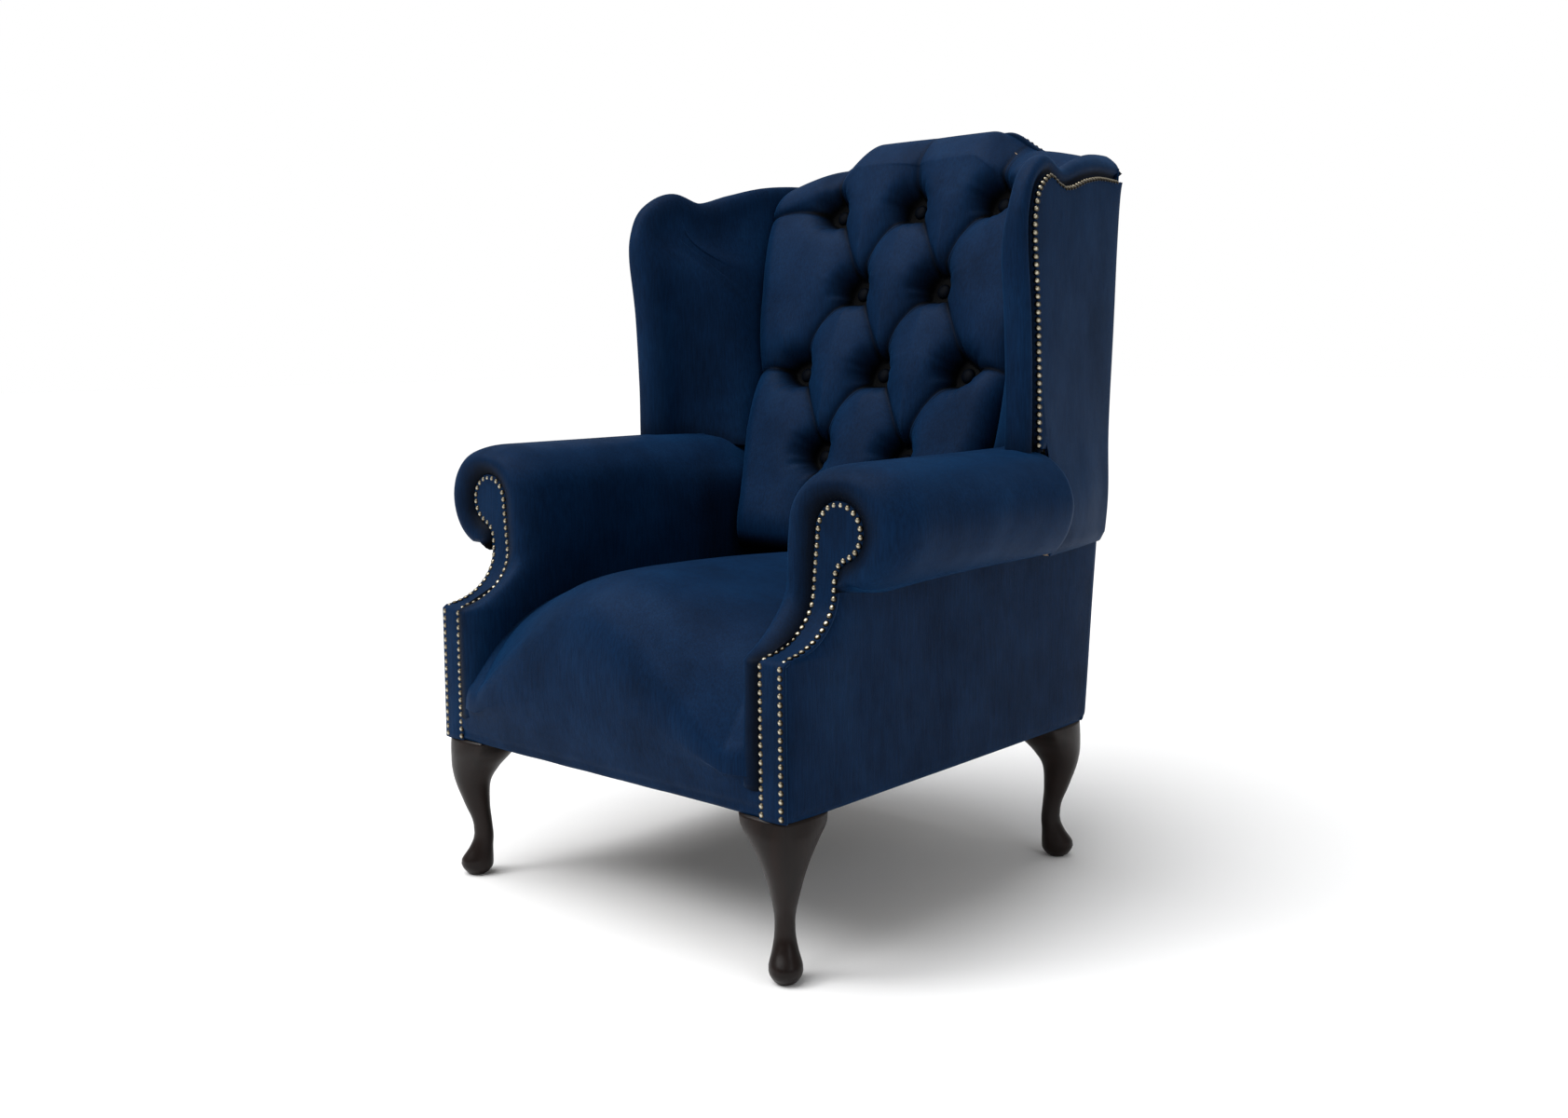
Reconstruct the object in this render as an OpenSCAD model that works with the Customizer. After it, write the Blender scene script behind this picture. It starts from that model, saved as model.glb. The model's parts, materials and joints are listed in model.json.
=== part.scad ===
// Wing armchair: a fixed, deep-buttoned fireside chair on four cabriole legs.
// X runs across the chair (+X is the sitter's left), the chair faces -Y, Z is up.
// The origin is on the floor, under the middle of the chair's whole outline.

/* [Overall] */
// Width across the side rails' covers
chair_w = 660; // [550:1:800]
// Depth from the front cover to the outside back at the foot of the frame
chair_d = 668; // [556:1:802]
// Height of the crest above the floor
chair_h = 1098; // [915:1:1320]
// Backward lean of the outside back, run over rise
rear_lean = 0.12; // [0.06:0.01:0.2]

/* [Legs] */
// Height of the legs, glides included
leg_h = 205; // [170:1:246]
// Side of the square block at the top of a leg
leg_block = 72; // [60:1:80]
// How far a leg block stands in from the covers
leg_inset = 5; // [2:1:10]
// Radius of a glide
glide_r = 11; // [8:0.5:13]
// Thickness of a glide
glide_t = 3; // [2:0.5:5]
// Distance from the covers to a leg's bolt
bolt_inset = 60; // [54:1:64]
// Radius of a leg bolt
bolt_r = 4; // [3:0.5:5]

/* [Frame] */
// Height of the seat rails
rail_h = 90; // [70:1:100]
// Thickness of the rails
rail_t = 28; // [22:1:34]
// Width of a post, across the chair
post_w = 40; // [32:1:48]
// Depth of a front post at its foot
post_d = 60; // [50:1:72]
// Depth of a back post
back_post_d = 45; // [38:1:54]
// Thickness of the corner blocks
block_t = 38; // [30:1:45]
// Length of a corner block along a rail
block_l = 126; // [110:1:150]
// Cover and wadding over the outside of the frame
wrap = 6; // [4:0.5:8]
// Thickness of the wing boards
wing_board_t = 20; // [16:1:24]

/* [Seat] */
// Height of the seat's crown
seat_h = 466; // [430:1:520]
// Clear width between the inside arms
seat_w = 490; // [410:1:500]
// Depth from the front cover to the button line of the back, at the seat's crown
seat_d = 522; // [450:1:540]
// How far the seat's front edge bulges past the front cover
seat_bulge = 22; // [10:1:30]
// Padding between the seat foam and its cover's face
seat_quilt = 16; // [10:1:22]
// Fall of the seat from its crown to its rear edge
seat_fall = 11; // [4:1:20]
// Share of the seat's height lost along its sides
side_drop = 0.165; // [0.1:0.005:0.22]
// Further share lost at its front corners
corner_drop = 0.455; // [0.3:0.005:0.5]
// Distance back from the front over which that fades
corner_run = 85; // [60:1:120]
// Wire radius of the zigzag springs
spring_r = 1.9; // [1.5:0.1:2.4]
// Number of zigzag springs
spring_count = 5; // [3:1:6]
// Half loops in a zigzag spring
spring_loops = 22; // [16:2:26]
// Width of a zigzag spring
spring_w = 50; // [40:1:60]

/* [Arms] */
// Height of the arm's top
arm_h = 620; // [580:1:680]
// Height of the padded roll
roll_h = 150; // [126:1:170]
// Width of the padded roll
roll_w = 190; // [168:1:210]
// Set-back of the roll's front from the front cover
roll_set = 94; // [78:1:112]
// Height of the shoulder, where the front post turns back
shoulder_h = 397; // [380:1:410]
// Radius of the scroll's head
scroll_r = 33; // [27:1:38]
// Radius of the hollow under the scroll's head
hollow_r = 30; // [24:1:36]
// Rear end of the roll, where it runs into the wing
roll_rear = 500; // [460:1:520]

/* [Wings] */
// Distance from the front cover to the wing's front edge
wing_front = 436; // [400:1:460]
// Height of the wing's front lobe
wing_h = 1008; // [940:1:1060]
// Splay of the wings, in degrees
wing_splay = 9.5; // [6:0.5:12]
// Thickness of the wing at its front edge
wing_t = 45; // [38:1:54]
// Distance of the wing's row of nails behind its padded edge
wing_bevel = 20; // [12:1:26]

/* [Back] */
// Backward lean of the inside back, run over rise
back_lean = 0.378; // [0.33:0.01:0.4]
// Thickness of the tufted padding in front of the button line
tuft_t = 50; // [40:1:60]
// Half width of the inside back at the top of the arms
back_half_low = 237; // [200:1:260]
// Half width of the inside back at the wings' top
back_half_top = 308; // [280:1:312]
// Half width of the raised middle of the crest
hump_half = 170; // [140:1:190]
// Width of the sweep at each side of the raised middle
hump_sweep = 82; // [60:1:110]
// Rise of the middle of the crest over its shoulders
hump_rise = 36; // [20:1:50]
// Fall of the crest's shoulders out to the wings
shoulder_fall = 38; // [20:1:50]
// Distance between buttons along a row
button_gap = 160; // [130:1:180]
// Distance between rows of buttons, measured upright
row_gap = 130; // [108:1:140]
// Distance of the top row of buttons below the crest
row_drop = 124; // [110:1:140]
// Radius of a button
button_r = 12; // [9:0.5:14]

/* [Trim] */
// Radius of a nail's head
nail_r = 4.8; // [4:0.1:6]
// Height of a nail's head
nail_h = 2.4; // [1.5:0.1:3]
// Distance between nails
nail_pitch = 10.4; // [10:0.1:14]
// Width of the arm's facing, between its two rows of nails
facing_w = 31; // [24:1:36]

/* [Hidden] */
$fn = 48;
left = 1;
right = -1;
velvet = "midnightblue";
beech = "burlywood";
mahogany = "#2b1712";
pewter = "#b7ab95";

half_w = chair_w / 2;
frame_half = half_w - wrap;
post_in = frame_half - post_w;
rail_top = leg_h + rail_h;
seat_half = seat_w / 2;
skin = 2;                        // thickness of a woven sheet or strap
gap = 1;                         // room between neighbouring soft pieces

// Whole depth, from the seat's bulge to the highest nail on the outside back
rear_top = chair_d + rear_lean * (chair_h - leg_h);
whole_d = seat_bulge + rear_top + nail_h / 2;
front_y = seat_bulge - whole_d / 2;

// Distance behind the front cover of a raked surface that is y there at the frame's foot
function raked(y, z) = y + rear_lean * (z - leg_h);
// Button line of the inside back
function button_y(z) = seat_d + back_lean * (z - seat_h);
// Half width of the inside back where it meets the wings
function back_half(z) =
    back_half_low + (back_half_top - back_half_low) * (z - arm_h) / (wing_h - arm_h);

back_bottom = seat_h - seat_fall + 2 * gap;
post_front = chair_d - wrap - back_post_d;
rail_front = chair_d - wrap - rail_t;
clip_h = 7;
foam_bottom = rail_top + clip_h;

// Every piece is drawn with Y = 0 at the front cover and moved to the shared origin here
module stand() translate([0, front_y, 0]) children();
module on_side(side) {
    if (side == left) stand() children();
    else stand() mirror([1, 0, 0]) children();
}
// An outline in Y and Z carried across from x0 to x1
module across(x0, x1, outline)
    translate([x0, 0, 0]) rotate([90, 0, 90]) linear_extrude(x1 - x0) polygon(outline);
// An outline in X and Z carried back from y0 to y1
module backwards(y0, y1) translate([0, y1, 0]) rotate([90, 0, 0]) linear_extrude(y1 - y0) children();
// A bar between two heights whose front and rear faces follow the outside back
module raked_bar(x0, x1, y0, y1, z0, z1)
    across(x0, x1, [[raked(y0, z0), z0], [raked(y1, z0), z0], [raked(y1, z1), z1], [raked(y0, z1), z1]]);
// A bar from y0 back to the front of a raked surface
module bar_to_post(x0, x1, y0, y1, z0, z1)
    across(x0, x1, [[y0, z0], [raked(y1, z0), z0], [raked(y1, z1), z1], [y0, z1]]);

// ---- smooth curves and even spacing ----
function reversed(p) = [for (i = [len(p) - 1 : -1 : 0]) p[i]];
function blend(a, b, c, d, t) =
    0.5 * (2 * b + (c - a) * t + (2 * a - 5 * b + 4 * c - d) * t * t + (3 * b - a - 3 * c + d) * t * t * t);
// A smooth curve through points, with n steps between neighbours
function smooth(p, n) = concat([for (i = [0 : len(p) - 2], k = [0 : n - 1])
    blend(p[max(i - 1, 0)], p[i], p[i + 1], p[min(i + 2, len(p) - 1)], k / n)], [p[len(p) - 1]]);
function place(p) = [p[0], p[1], p[2]];
function run(p, i) = i == 0 ? 0 : run(p, i - 1) + norm(place(p[i]) - place(p[i - 1]));
// Points [x, y, z, tilt] a pitch apart along a path of such points
function spaced(p, pitch) =
    let (r = [for (i = [0 : len(p) - 1]) run(p, i)], count = floor(r[len(p) - 1] / pitch))
    [for (j = [0 : count]) [for (k = [0 : len(p[0]) - 1])
        lookup(j * r[len(p) - 1] / count, [for (i = [0 : len(p) - 1]) [r[i], p[i][k]]])]];

// ---- legs ----
foot_in = 40;                    // distance of a foot's middle from the corner, along the diagonal
// Stations of a cabriole leg: share of its height, middle and half depth along
// the corner's diagonal, half width across it, and how square the section is
leg_stations = [
    [1.00, 58, 51, 54, 1.2], [0.93, 55, 49, 52, 1.35], [0.86, 49, 43, 44, 1.6],
    [0.77, 41, 34, 34, 1.8], [0.66, 37, 25, 25, 2], [0.50, 42, 18, 17, 2],
    [0.38, 48, 14, 13, 2], [0.27, 50, 14, 13, 2], [0.18, 46, 17, 16, 2],
    [0.09, foot_in, 23, 21, 2], [0.04, foot_in, 22, 20, 2], [0.0, foot_in, 16, 15, 2]
];
leg_sides = 16;
function power(v, e) = sign(v) * pow(abs(v), e);
function leg_ring(s) = let (z = glide_t + s[0] * (leg_h - glide_t), wide = leg_block / 72)
    [for (i = [0 : leg_sides - 1]) let (
        a = 360 * i / leg_sides,
        u = s[1] + wide * s[2] * power(cos(a), 2 / s[4]) + sqrt(2) * (leg_inset - 5),
        v = wide * s[3] * power(sin(a), 2 / s[4]))
        [(v - u) / sqrt(2), (u + v) / sqrt(2), z]];
module leg_shape() {
    rings = [for (s = smooth(leg_stations, 2)) leg_ring(s)];
    n = len(rings);
    polyhedron(
        points = [for (r = rings, p = r) p],
        faces = concat(
            [[for (i = [0 : leg_sides - 1]) i]],
            [for (k = [0 : n - 2], i = [0 : leg_sides - 1]) let (j = (i + 1) % leg_sides)
                [k * leg_sides + i, (k + 1) * leg_sides + i, (k + 1) * leg_sides + j, k * leg_sides + j]],
            [[for (i = [leg_sides - 1 : -1 : 0]) (n - 1) * leg_sides + i]]));
}
// A piece drawn in the front left corner, put in any corner: end is 0 at the front, 1 at the rear
module in_corner(side, end) on_side(side) translate([half_w, end * chair_d, 0])
    mirror([0, end, 0]) children();
module leg(side, end) color(mahogany) in_corner(side, end) leg_shape();
module every_corner() for (side = [left, right], end = [0, 1]) in_corner(side, end) children();

module glides() color("dimgray") every_corner()
    translate([-foot_in / sqrt(2), foot_in / sqrt(2), 0]) cylinder(h = glide_t, r = glide_r);

bolt_in_leg = 22;
washer_t = 2;
nut_t = 7;
module leg_bolts() color("silver") every_corner() translate([-bolt_inset, bolt_inset, 0]) {
    translate([0, 0, leg_h - bolt_in_leg])
        cylinder(h = bolt_in_leg + block_t + washer_t + nut_t + 2, r = bolt_r);
    translate([0, 0, leg_h + block_t]) cylinder(h = washer_t, r = 2.2 * bolt_r);
    translate([0, 0, leg_h + block_t + washer_t]) cylinder(h = nut_t, r = 1.8 * bolt_r, $fn = 6);
}

// ---- seat frame ----
module front_rail() color(beech) stand()
    translate([-post_in, wrap, leg_h]) cube([2 * post_in, rail_t, rail_h]);
module rear_rail() color(beech) stand()
    raked_bar(-post_in, post_in, rail_front, chair_d - wrap, leg_h, rail_top);
module side_rail(side) color(beech) on_side(side)
    bar_to_post(frame_half - rail_t, frame_half, wrap + post_d, post_front, leg_h, rail_top);

// A brace across a corner, fitted round the post, with a clearance hole for the leg's bolt
module corner_block(post_depth) {
    rail_in = wrap + rail_t;
    difference() {
        translate([0, 0, leg_h]) linear_extrude(block_t) polygon([
            [-rail_in - block_l, rail_in], [-wrap - post_w, rail_in], [-wrap - post_w, wrap + post_depth],
            [-rail_in, wrap + post_depth], [-rail_in, rail_in + block_l]]);
        translate([-bolt_inset, bolt_inset, leg_h - 1]) cylinder(h = block_t + 2, r = bolt_r + 0.5);
    }
}
module corner_blocks() color(beech) for (side = [left, right]) {
    in_corner(side, 0) corner_block(post_d);
    in_corner(side, 1) corner_block(back_post_d);
}

// ---- front post, with the sweep from the shoulder up to the scroll ----
sweep_top = arm_h - roll_h;      // height where the sweep ends and the roll's underside starts
sweep_steps = 10;
function sweep(t) = [roll_set * sin(t), sweep_top - (sweep_top - shoulder_h) * cos(t)];
// Front line of the post, sunk by g, from the foot up to a height
function front_line(g, top) = concat([[g, leg_h]],
    [for (i = [0 : sweep_steps]) sweep(90 * i / sweep_steps) + [g, -g]], [[roll_set + g, top]]);
post_top = sweep_top + 35;
post_neck = 30;                  // depth of the post above its shoulder
module front_post(side) color(beech) on_side(side) across(post_in, frame_half, concat(
    front_line(wrap, post_top),
    [[roll_set + wrap + post_neck, post_top], [roll_set + wrap + post_neck, sweep_top - post_neck],
     [wrap + post_d, shoulder_h - post_neck], [wrap + post_d, leg_h]]));

// ---- scroll and arm rails ----
row_out = half_w - 7;            // outer row of nails
row_in = row_out - facing_w;     // inner row of nails
facing_lap = 4;                  // cover beyond the rows of nails
head_x = row_in + 11 + scroll_r;
head_z = sweep_top + 71;
hollow_x = row_out + 5 + hollow_r;
hollow_z = head_z - sqrt(pow(scroll_r + hollow_r, 2) - pow(hollow_x - head_x, 2));
join_angle = atan2(hollow_z - head_z, hollow_x - head_x);
board_t = 16;
// The scroll's outline grown by g beyond the line of nails
module scroll(g, low) {
    translate([head_x, head_z]) circle(r = scroll_r + g);
    difference() {
        polygon([[row_in + 4 - g, low], [hollow_x, low], [hollow_x, head_z], [head_x - scroll_r - g, head_z]]);
        translate([hollow_x, hollow_z]) circle(r = hollow_r - g);
        translate([hollow_x - hollow_r + g, low - 1]) square([hollow_r, hollow_z - low + 1]);
    }
}
module scroll_board(side) color(beech) on_side(side)
    backwards(roll_set + wrap, roll_set + wrap + board_t) scroll(-2, post_top);
rail_low = post_top;
arm_rail_h = 25;
arm_rail_w = 54;
module arm_rail(side) color(beech) on_side(side) difference() {
    bar_to_post(row_in + 4, row_in + 4 + arm_rail_w, roll_set + wrap + board_t, post_front,
        rail_low, rail_low + arm_rail_h);
    wing_strip(-half_w, wrap + wing_board_t);
}
tack_rail_t = 20;
tack_rail_h = 30;
module arm_tack_rail(side) color(beech) on_side(side)
    bar_to_post(post_in, post_in + tack_rail_t, wrap + post_d, post_front,
        foam_bottom + 8, foam_bottom + 8 + tack_rail_h);

// ---- back frame ----
crest_low = chair_h - 112;
module back_post(side) color(beech) on_side(side)
    raked_bar(post_in, frame_half, post_front, chair_d - wrap, leg_h, crest_low);
module back_tack_rail() color(beech) stand()
    raked_bar(-post_in, post_in, rail_front, chair_d - wrap, back_bottom - 16, back_bottom + 44);

// Crest line: shoulders that fall to the wings and sweep up to a raised middle, lowered by g
shoulder_z = chair_h - hump_rise;
function crest(x, g) = let (
    rise = min(max((abs(x) - hump_half) / hump_sweep + 0.5, 0), 1),
    fall = max((abs(x) - hump_half) / (half_w - hump_half), 0))
    shoulder_z - g + hump_rise * (1 + cos(180 * rise)) / 2 - shoulder_fall * fall * fall;
crest_xs = [for (i = [-20 : 20]) i / 20];
module crest_outline(half, low, g) polygon(concat(
    [[half, low], [-half, low]], [for (k = crest_xs) [k * half, crest(k * half, g)]]));
crest_quilt = 28;                // padding over the crest rail
module crest_board() intersection() {
    backwards(0, 2 * chair_d) crest_outline(frame_half, crest_low, crest_quilt);
    raked_bar(-half_w, half_w, rail_front, chair_d - wrap, crest_low, chair_h);
}
module crest_rail() color(beech) stand() crest_board();
module outside_back() color(velvet) stand() intersection() {
    backwards(0, 2 * chair_d) {
        crest_outline(half_w, leg_h, 0);
        polygon([for (side = [left, right], p = side == left ? [0, 1] : [1, 0])
            [side * (p == 0 ? splay_x(raked(chair_d, panel_low)) : half_w), p == 0 ? panel_low : wing_h]]);
    }
    raked_bar(-half_w, half_w, chair_d - wrap, chair_d, leg_h, chair_h + 1);
}

// ---- wings ----
// Outline of a wing in Y and Z: up its front edge, round the lobe and back along its top
wing_foot = arm_h + gap;
wing_rise = wing_h - wing_foot;
wing_edge = smooth([
    [wing_front + 6, wing_foot], [wing_front + 6, wing_foot + 0.22 * wing_rise],
    [wing_front + 1, wing_foot + 0.5 * wing_rise], [wing_front - 9, wing_foot + 0.73 * wing_rise],
    [wing_front - 4, wing_h - 58], [wing_front + 16, wing_h - 22], [wing_front + 62, wing_h],
    [wing_front + 116, wing_h - 13], [wing_front + 180, wing_h + 2], [wing_front + 240, wing_h + 11],
    [raked(chair_d, wing_h) - 20, wing_h + 12]], 3);
last_edge = len(wing_edge) - 1;
wing_top_rear = raked(chair_d, wing_h);
panel_low = sweep_top + gap;     // underside of the wing's outer panel, in line with the roll's
// The wing's padded edge set back by g, square to itself
function edge_run(i) = wing_edge[min(i + 1, last_edge)] - wing_edge[max(i - 1, 0)];
function set_back(i, g) = let (d = edge_run(i) / norm(edge_run(i)))
    [wing_edge[i][0] + g * d[1], max(wing_edge[i][1] - g * d[0], wing_foot)];
// The wing's outline with its padded edge set back by e and the rest moved in by g
module wing_side(g, e) {
    inner = [for (i = [0 : last_edge]) set_back(i, e)];
    across(0, 2 * half_w, concat(inner, [
        [raked(chair_d - g, wing_h + 12 - e), wing_h + 12 - e],
        [raked(chair_d - g, panel_low), panel_low], [roll_rear + g + gap, panel_low],
        [roll_rear + g + gap, wing_foot + g]]));
}
// A plan strip that follows the wing's splay, between two distances in from its outer face
function splay_x(y) = half_w + (wing_top_rear - y) * tan(wing_splay);
wing_yf = wing_front - 12;
wing_yr = raked(chair_d, wing_h + 13);
module wing_strip(t0, t1) translate([0, 0, panel_low - 1]) linear_extrude(wing_h - panel_low + 20)
    polygon([[splay_x(wing_yf) - t0, wing_yf], [splay_x(wing_yf) - t1, wing_yf],
        [splay_x(wing_yr) - t1, wing_yr], [splay_x(wing_yr) - t0, wing_yr]]);
module back_zone(margin) raked_bar(-2 * half_w, 2 * half_w, post_front - margin, 2 * chair_d, leg_h, 2 * chair_h);

module outside_wing(side) color(velvet) on_side(side) difference() {
    intersection() {
        wing_side(0, wing_bevel - 1);
        wing_strip(0, wrap);
    }
    raked_bar(0, half_w, chair_d - wrap, 2 * chair_d, leg_h, chair_h + 50);
}
module wing_board(side) color(beech) on_side(side) difference() {
    intersection() {
        wing_side(wrap, wing_bevel + 2);
        wing_strip(wrap, wrap + wing_board_t);
    }
    back_zone(0);
}
// Padding between the wing board and the inside back, wider towards the rear
module wing_pad(side) color(velvet) on_side(side) difference() {
    intersection() {
        wing_side(0, 0);
        hull() for (z = [wing_foot, wing_h + 20]) translate([0, 0, z]) linear_extrude(0.01) polygon([
            [splay_x(wing_yf) - wrap - wing_board_t, wing_yf],
            [splay_x(wing_yf) - wing_t, wing_yf],
            [back_half(z) + gap, button_y(z) - tuft_t],
            [back_half(z) + gap, raked(post_front, z)],
            [splay_x(raked(post_front, z)) - wrap - wing_board_t, raked(post_front, z)]]);
    }
    back_zone(gap);
    wing_strip(-1, wrap + wing_board_t);
}

// ---- arm padding ----
module roll_outline() {
    r = roll_h / 2;
    translate([seat_half + r, sweep_top + r]) circle(r = r);
    translate([seat_half + roll_w - r, sweep_top + r]) circle(r = r);
    translate([seat_half + r, sweep_top]) square([roll_w - roll_h, roll_h]);
    translate([seat_half, foam_bottom]) square([post_in - seat_half, sweep_top + r - foam_bottom]);
}
module arm_pad(side) color(velvet) on_side(side) difference() {
    union() {
        intersection() {
            backwards(0, roll_rear) roll_outline();
            across(0, 2 * half_w, concat(front_line(wrap + gap, arm_h + 1),
                [[roll_rear, arm_h + 1], [roll_rear, leg_h]]));
        }
        translate([seat_half, roll_rear, foam_bottom])
            cube([post_in - seat_half, raked(post_front, foam_bottom) - roll_rear - gap, arm_h - foam_bottom]);
    }
    across(post_in, frame_half + wrap + gap, concat(front_line(wrap, post_top),
        [[roll_set + wrap + post_neck, post_top], [roll_set + wrap + post_neck, sweep_top],
         [roll_set + wrap + post_neck, leg_h], [wrap, leg_h]]));
    translate([row_in + 4, roll_set, rail_low]) cube([arm_rail_w, chair_d, arm_rail_h]);
    backwards(0, roll_set + wrap + board_t) scroll(-2, sweep_top);
}

// ---- seat ----
seat_rear = seat_d + 73;
// Outline of the seat in Y and Z along its middle, drawn in by g: up the front, over the crown and back
function seat_line(g) = smooth([
    [g, leg_h], [-0.55 * seat_bulge + g, leg_h + 45], [-seat_bulge + g, leg_h + 130],
    [-0.9 * seat_bulge + g, seat_h - 76], [-0.2 * seat_bulge + g, seat_h - 36 - g / 2],
    [20 + g, seat_h - 11 - g], [60, seat_h - 1 - g], [110, seat_h - g], [300, seat_h - 5 - g],
    [seat_d - tuft_t - 30, seat_h - seat_fall - g], [seat_rear - g, seat_h - seat_fall - 12 - g]], 2);
// Share of the seat's height that is lost at its side, most of it at the front corner
function side_fall(y) = side_drop + corner_drop * exp(-max(y, 0) / corner_run);
function domed(p, x) = [p[0], leg_h + (p[1] - leg_h) * (1 - side_fall(p[0]) * pow(abs(x) / seat_half, 1.4))];
// The seat's domed body: front-to-back outlines at stations across it, drawn in by g
module seat_body(g) hull() for (k = [-6 : 6]) let (x = k / 6 * (seat_half - max(g, gap)))
    across(x - 0.5, x + 0.5, concat([for (p = seat_line(g)) domed(p, x)], [[seat_rear - g, leg_h]]));
// The seat's foam, carried down by extra
module seat_core(extra) intersection() {
    seat_body(seat_quilt);
    translate([-half_w, wrap, foam_bottom - extra]) cube([chair_w, chair_d, chair_h]);
}
module seat_foam() color("khaki") stand() seat_core(0);
module seat_cover() color(velvet) stand() {
    difference() {
        seat_body(0);
        seat_core(gap);
        translate([-half_w, wrap, leg_h - 1]) cube([chair_w, chair_d, foam_bottom - leg_h + 1]);
    }
    translate([-row_in + facing_lap + gap, 0, leg_h])
        cube([2 * (row_in - facing_lap - gap), wrap, foam_bottom - gap - leg_h]);
}

spring_z = rail_top + clip_h / 2;
spring_front = wrap + rail_t;
spring_rear = raked(rail_front, rail_top);
spring_step = (spring_rear - spring_front) / spring_loops;
spring_gap = 2 * (post_in - 40) / spring_count;
function spring_x(i) = (i - (spring_count - 1) / 2) * spring_gap;
// Straight runs across the spring joined by half loops at alternate ends
module spring() {
    r = spring_step / 2;
    reach = spring_w / 2 - r;
    for (k = [0 : spring_loops]) {
        translate([-reach, k * spring_step - spring_r]) square([2 * reach, 2 * spring_r]);
        if (k < spring_loops) translate([k % 2 == 0 ? reach : -reach, (k + 0.5) * spring_step])
            difference() {
                circle(r = r + spring_r);
                circle(r = r - spring_r);
                translate([k % 2 == 0 ? -2 * r : 0, -2 * r]) square([2 * r, 4 * r]);
            }
    }
}
module seat_springs() color("dimgray") stand() for (i = [0 : spring_count - 1])
    translate([spring_x(i), spring_front, spring_z - spring_r]) linear_extrude(2 * spring_r) spring();
clip_w = 18;
clip_d = 12;
module spring_clips() color("gray") stand()
    for (i = [0 : spring_count - 1], y = [spring_front - clip_d / 2, spring_rear - clip_d / 2])
        translate([spring_x(i) - clip_w / 2, y, rail_top]) difference() {
            cube([clip_w, clip_d, clip_h]);
            translate([-1, clip_d / 2 - spring_r - 0.2, clip_h / 2 - spring_r - 0.2])
                cube([clip_w + 2, 2 * spring_r + 0.4, 2 * spring_r + 0.4]);
        }
module seat_hessian() color("tan") stand()
    translate([-post_in + gap, spring_front + clip_d, spring_z + spring_r])
        cube([2 * (post_in - gap), spring_rear - spring_front - 2 * clip_d, foam_bottom - spring_z - spring_r]);
module dust_cover() color("black") stand() difference() {
    translate([-half_w + 20, 20, leg_h - skin]) cube([chair_w - 40, chair_d - 40, skin]);
    for (x = [-half_w, half_w], y = [0, chair_d]) translate([x, y, leg_h])
        cube([2 * (leg_block + leg_inset + 8), 2 * (leg_block + leg_inset + 8), 3 * skin], center = true);
}

// ---- inside back ----
foam_top = chair_h - 158;
web_y = rail_front;              // webbing lies on the front faces of the back rails
module back_foam() color("khaki") stand() difference() {
    across(-back_half_low, back_half_low, [
        [button_y(back_bottom), back_bottom], [raked(web_y - 3 * skin, back_bottom), back_bottom],
        [raked(web_y - 3 * skin, foam_top), foam_top], [button_y(foam_top), foam_top]]);
    button_holes(button_r / 3);
}
module back_hessian() color("tan") stand()
    raked_bar(-post_in + gap, post_in - gap, web_y - 3 * skin, web_y - 2 * skin, back_bottom, crest_low);
strap_w = 50;
strap_gap = 110;
module back_webbing() color("sienna") stand() {
    for (x = [-2 : 2]) raked_bar(x * strap_gap - strap_w / 2, x * strap_gap + strap_w / 2,
        web_y - skin, web_y, back_bottom, crest_low);
    for (z = [back_bottom + 30 : strap_gap : crest_low - strap_w]) raked_bar(-post_in, post_in,
        web_y - 2 * skin, web_y - skin, z, z + strap_w);
}
rows = 4;
function row_z(k) = chair_h - row_drop - k * row_gap;
buttons = [for (k = [0 : rows - 1], i = (k % 2 == 0 ? [-1 : 1] : [-0.5 : 0.5])) [i * button_gap, row_z(k)]];
back_angle = atan(back_lean);
// Square to the inside back at a button's place
module at_buttons() for (b = buttons) translate([b[0], button_y(b[1]), b[1]]) rotate([90 - back_angle, 0, 0]) children();
module button_holes(r) at_buttons() translate([0, 0, -150]) cylinder(h = 300, r = r);
button_t = 8;
module back_buttons() color(velvet) stand() at_buttons() {
    cylinder(h = button_t / 2, r = button_r);
    translate([0, 0, button_t / 2]) cylinder(h = button_t / 2, r1 = button_r, r2 = button_r / 2);
}
// Twine from each button back to a washer behind the webbing
module button_twines() color("white") stand() intersection() {
    at_buttons() translate([0, 0, -160]) cylinder(h = 160, r = 1.2, $fn = 16);
    raked_bar(-half_w, half_w, 0, chair_d - wrap - gap, leg_h, chair_h);
}
module back_pad() color(velvet) stand() difference() {
    intersection() {
        union() {
            across(-half_w, half_w, [
                [button_y(back_bottom) - tuft_t, back_bottom], [button_y(back_bottom), back_bottom],
                [button_y(chair_h), chair_h], [button_y(chair_h) - tuft_t, chair_h]]);
            raked_bar(-half_w, half_w, rail_front, chair_d - wrap, crest_low + 6, chair_h);
        }
        backwards(0, 2 * chair_d) intersection() {
            crest_outline(half_w, back_bottom, 0);
            polygon([[-seat_half + gap, back_bottom], [seat_half - gap, back_bottom],
                [seat_half - gap, arm_h], [back_half(arm_h), arm_h], [back_half(wing_h), wing_h],
                [back_half(wing_h), wing_h + 14], [frame_half, wing_h + 14], [frame_half, chair_h],
                [-frame_half, chair_h], [-frame_half, wing_h + 14], [-back_half(wing_h), wing_h + 14],
                [-back_half(wing_h), wing_h], [-back_half(arm_h), arm_h], [-seat_half + gap, arm_h]]);
        }
    }
    crest_board();
    for (x = [-half_w, post_in]) raked_bar(x, x + wrap + post_w, post_front, chair_d, leg_h, crest_low);
    button_holes(button_r + 1);
}

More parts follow.
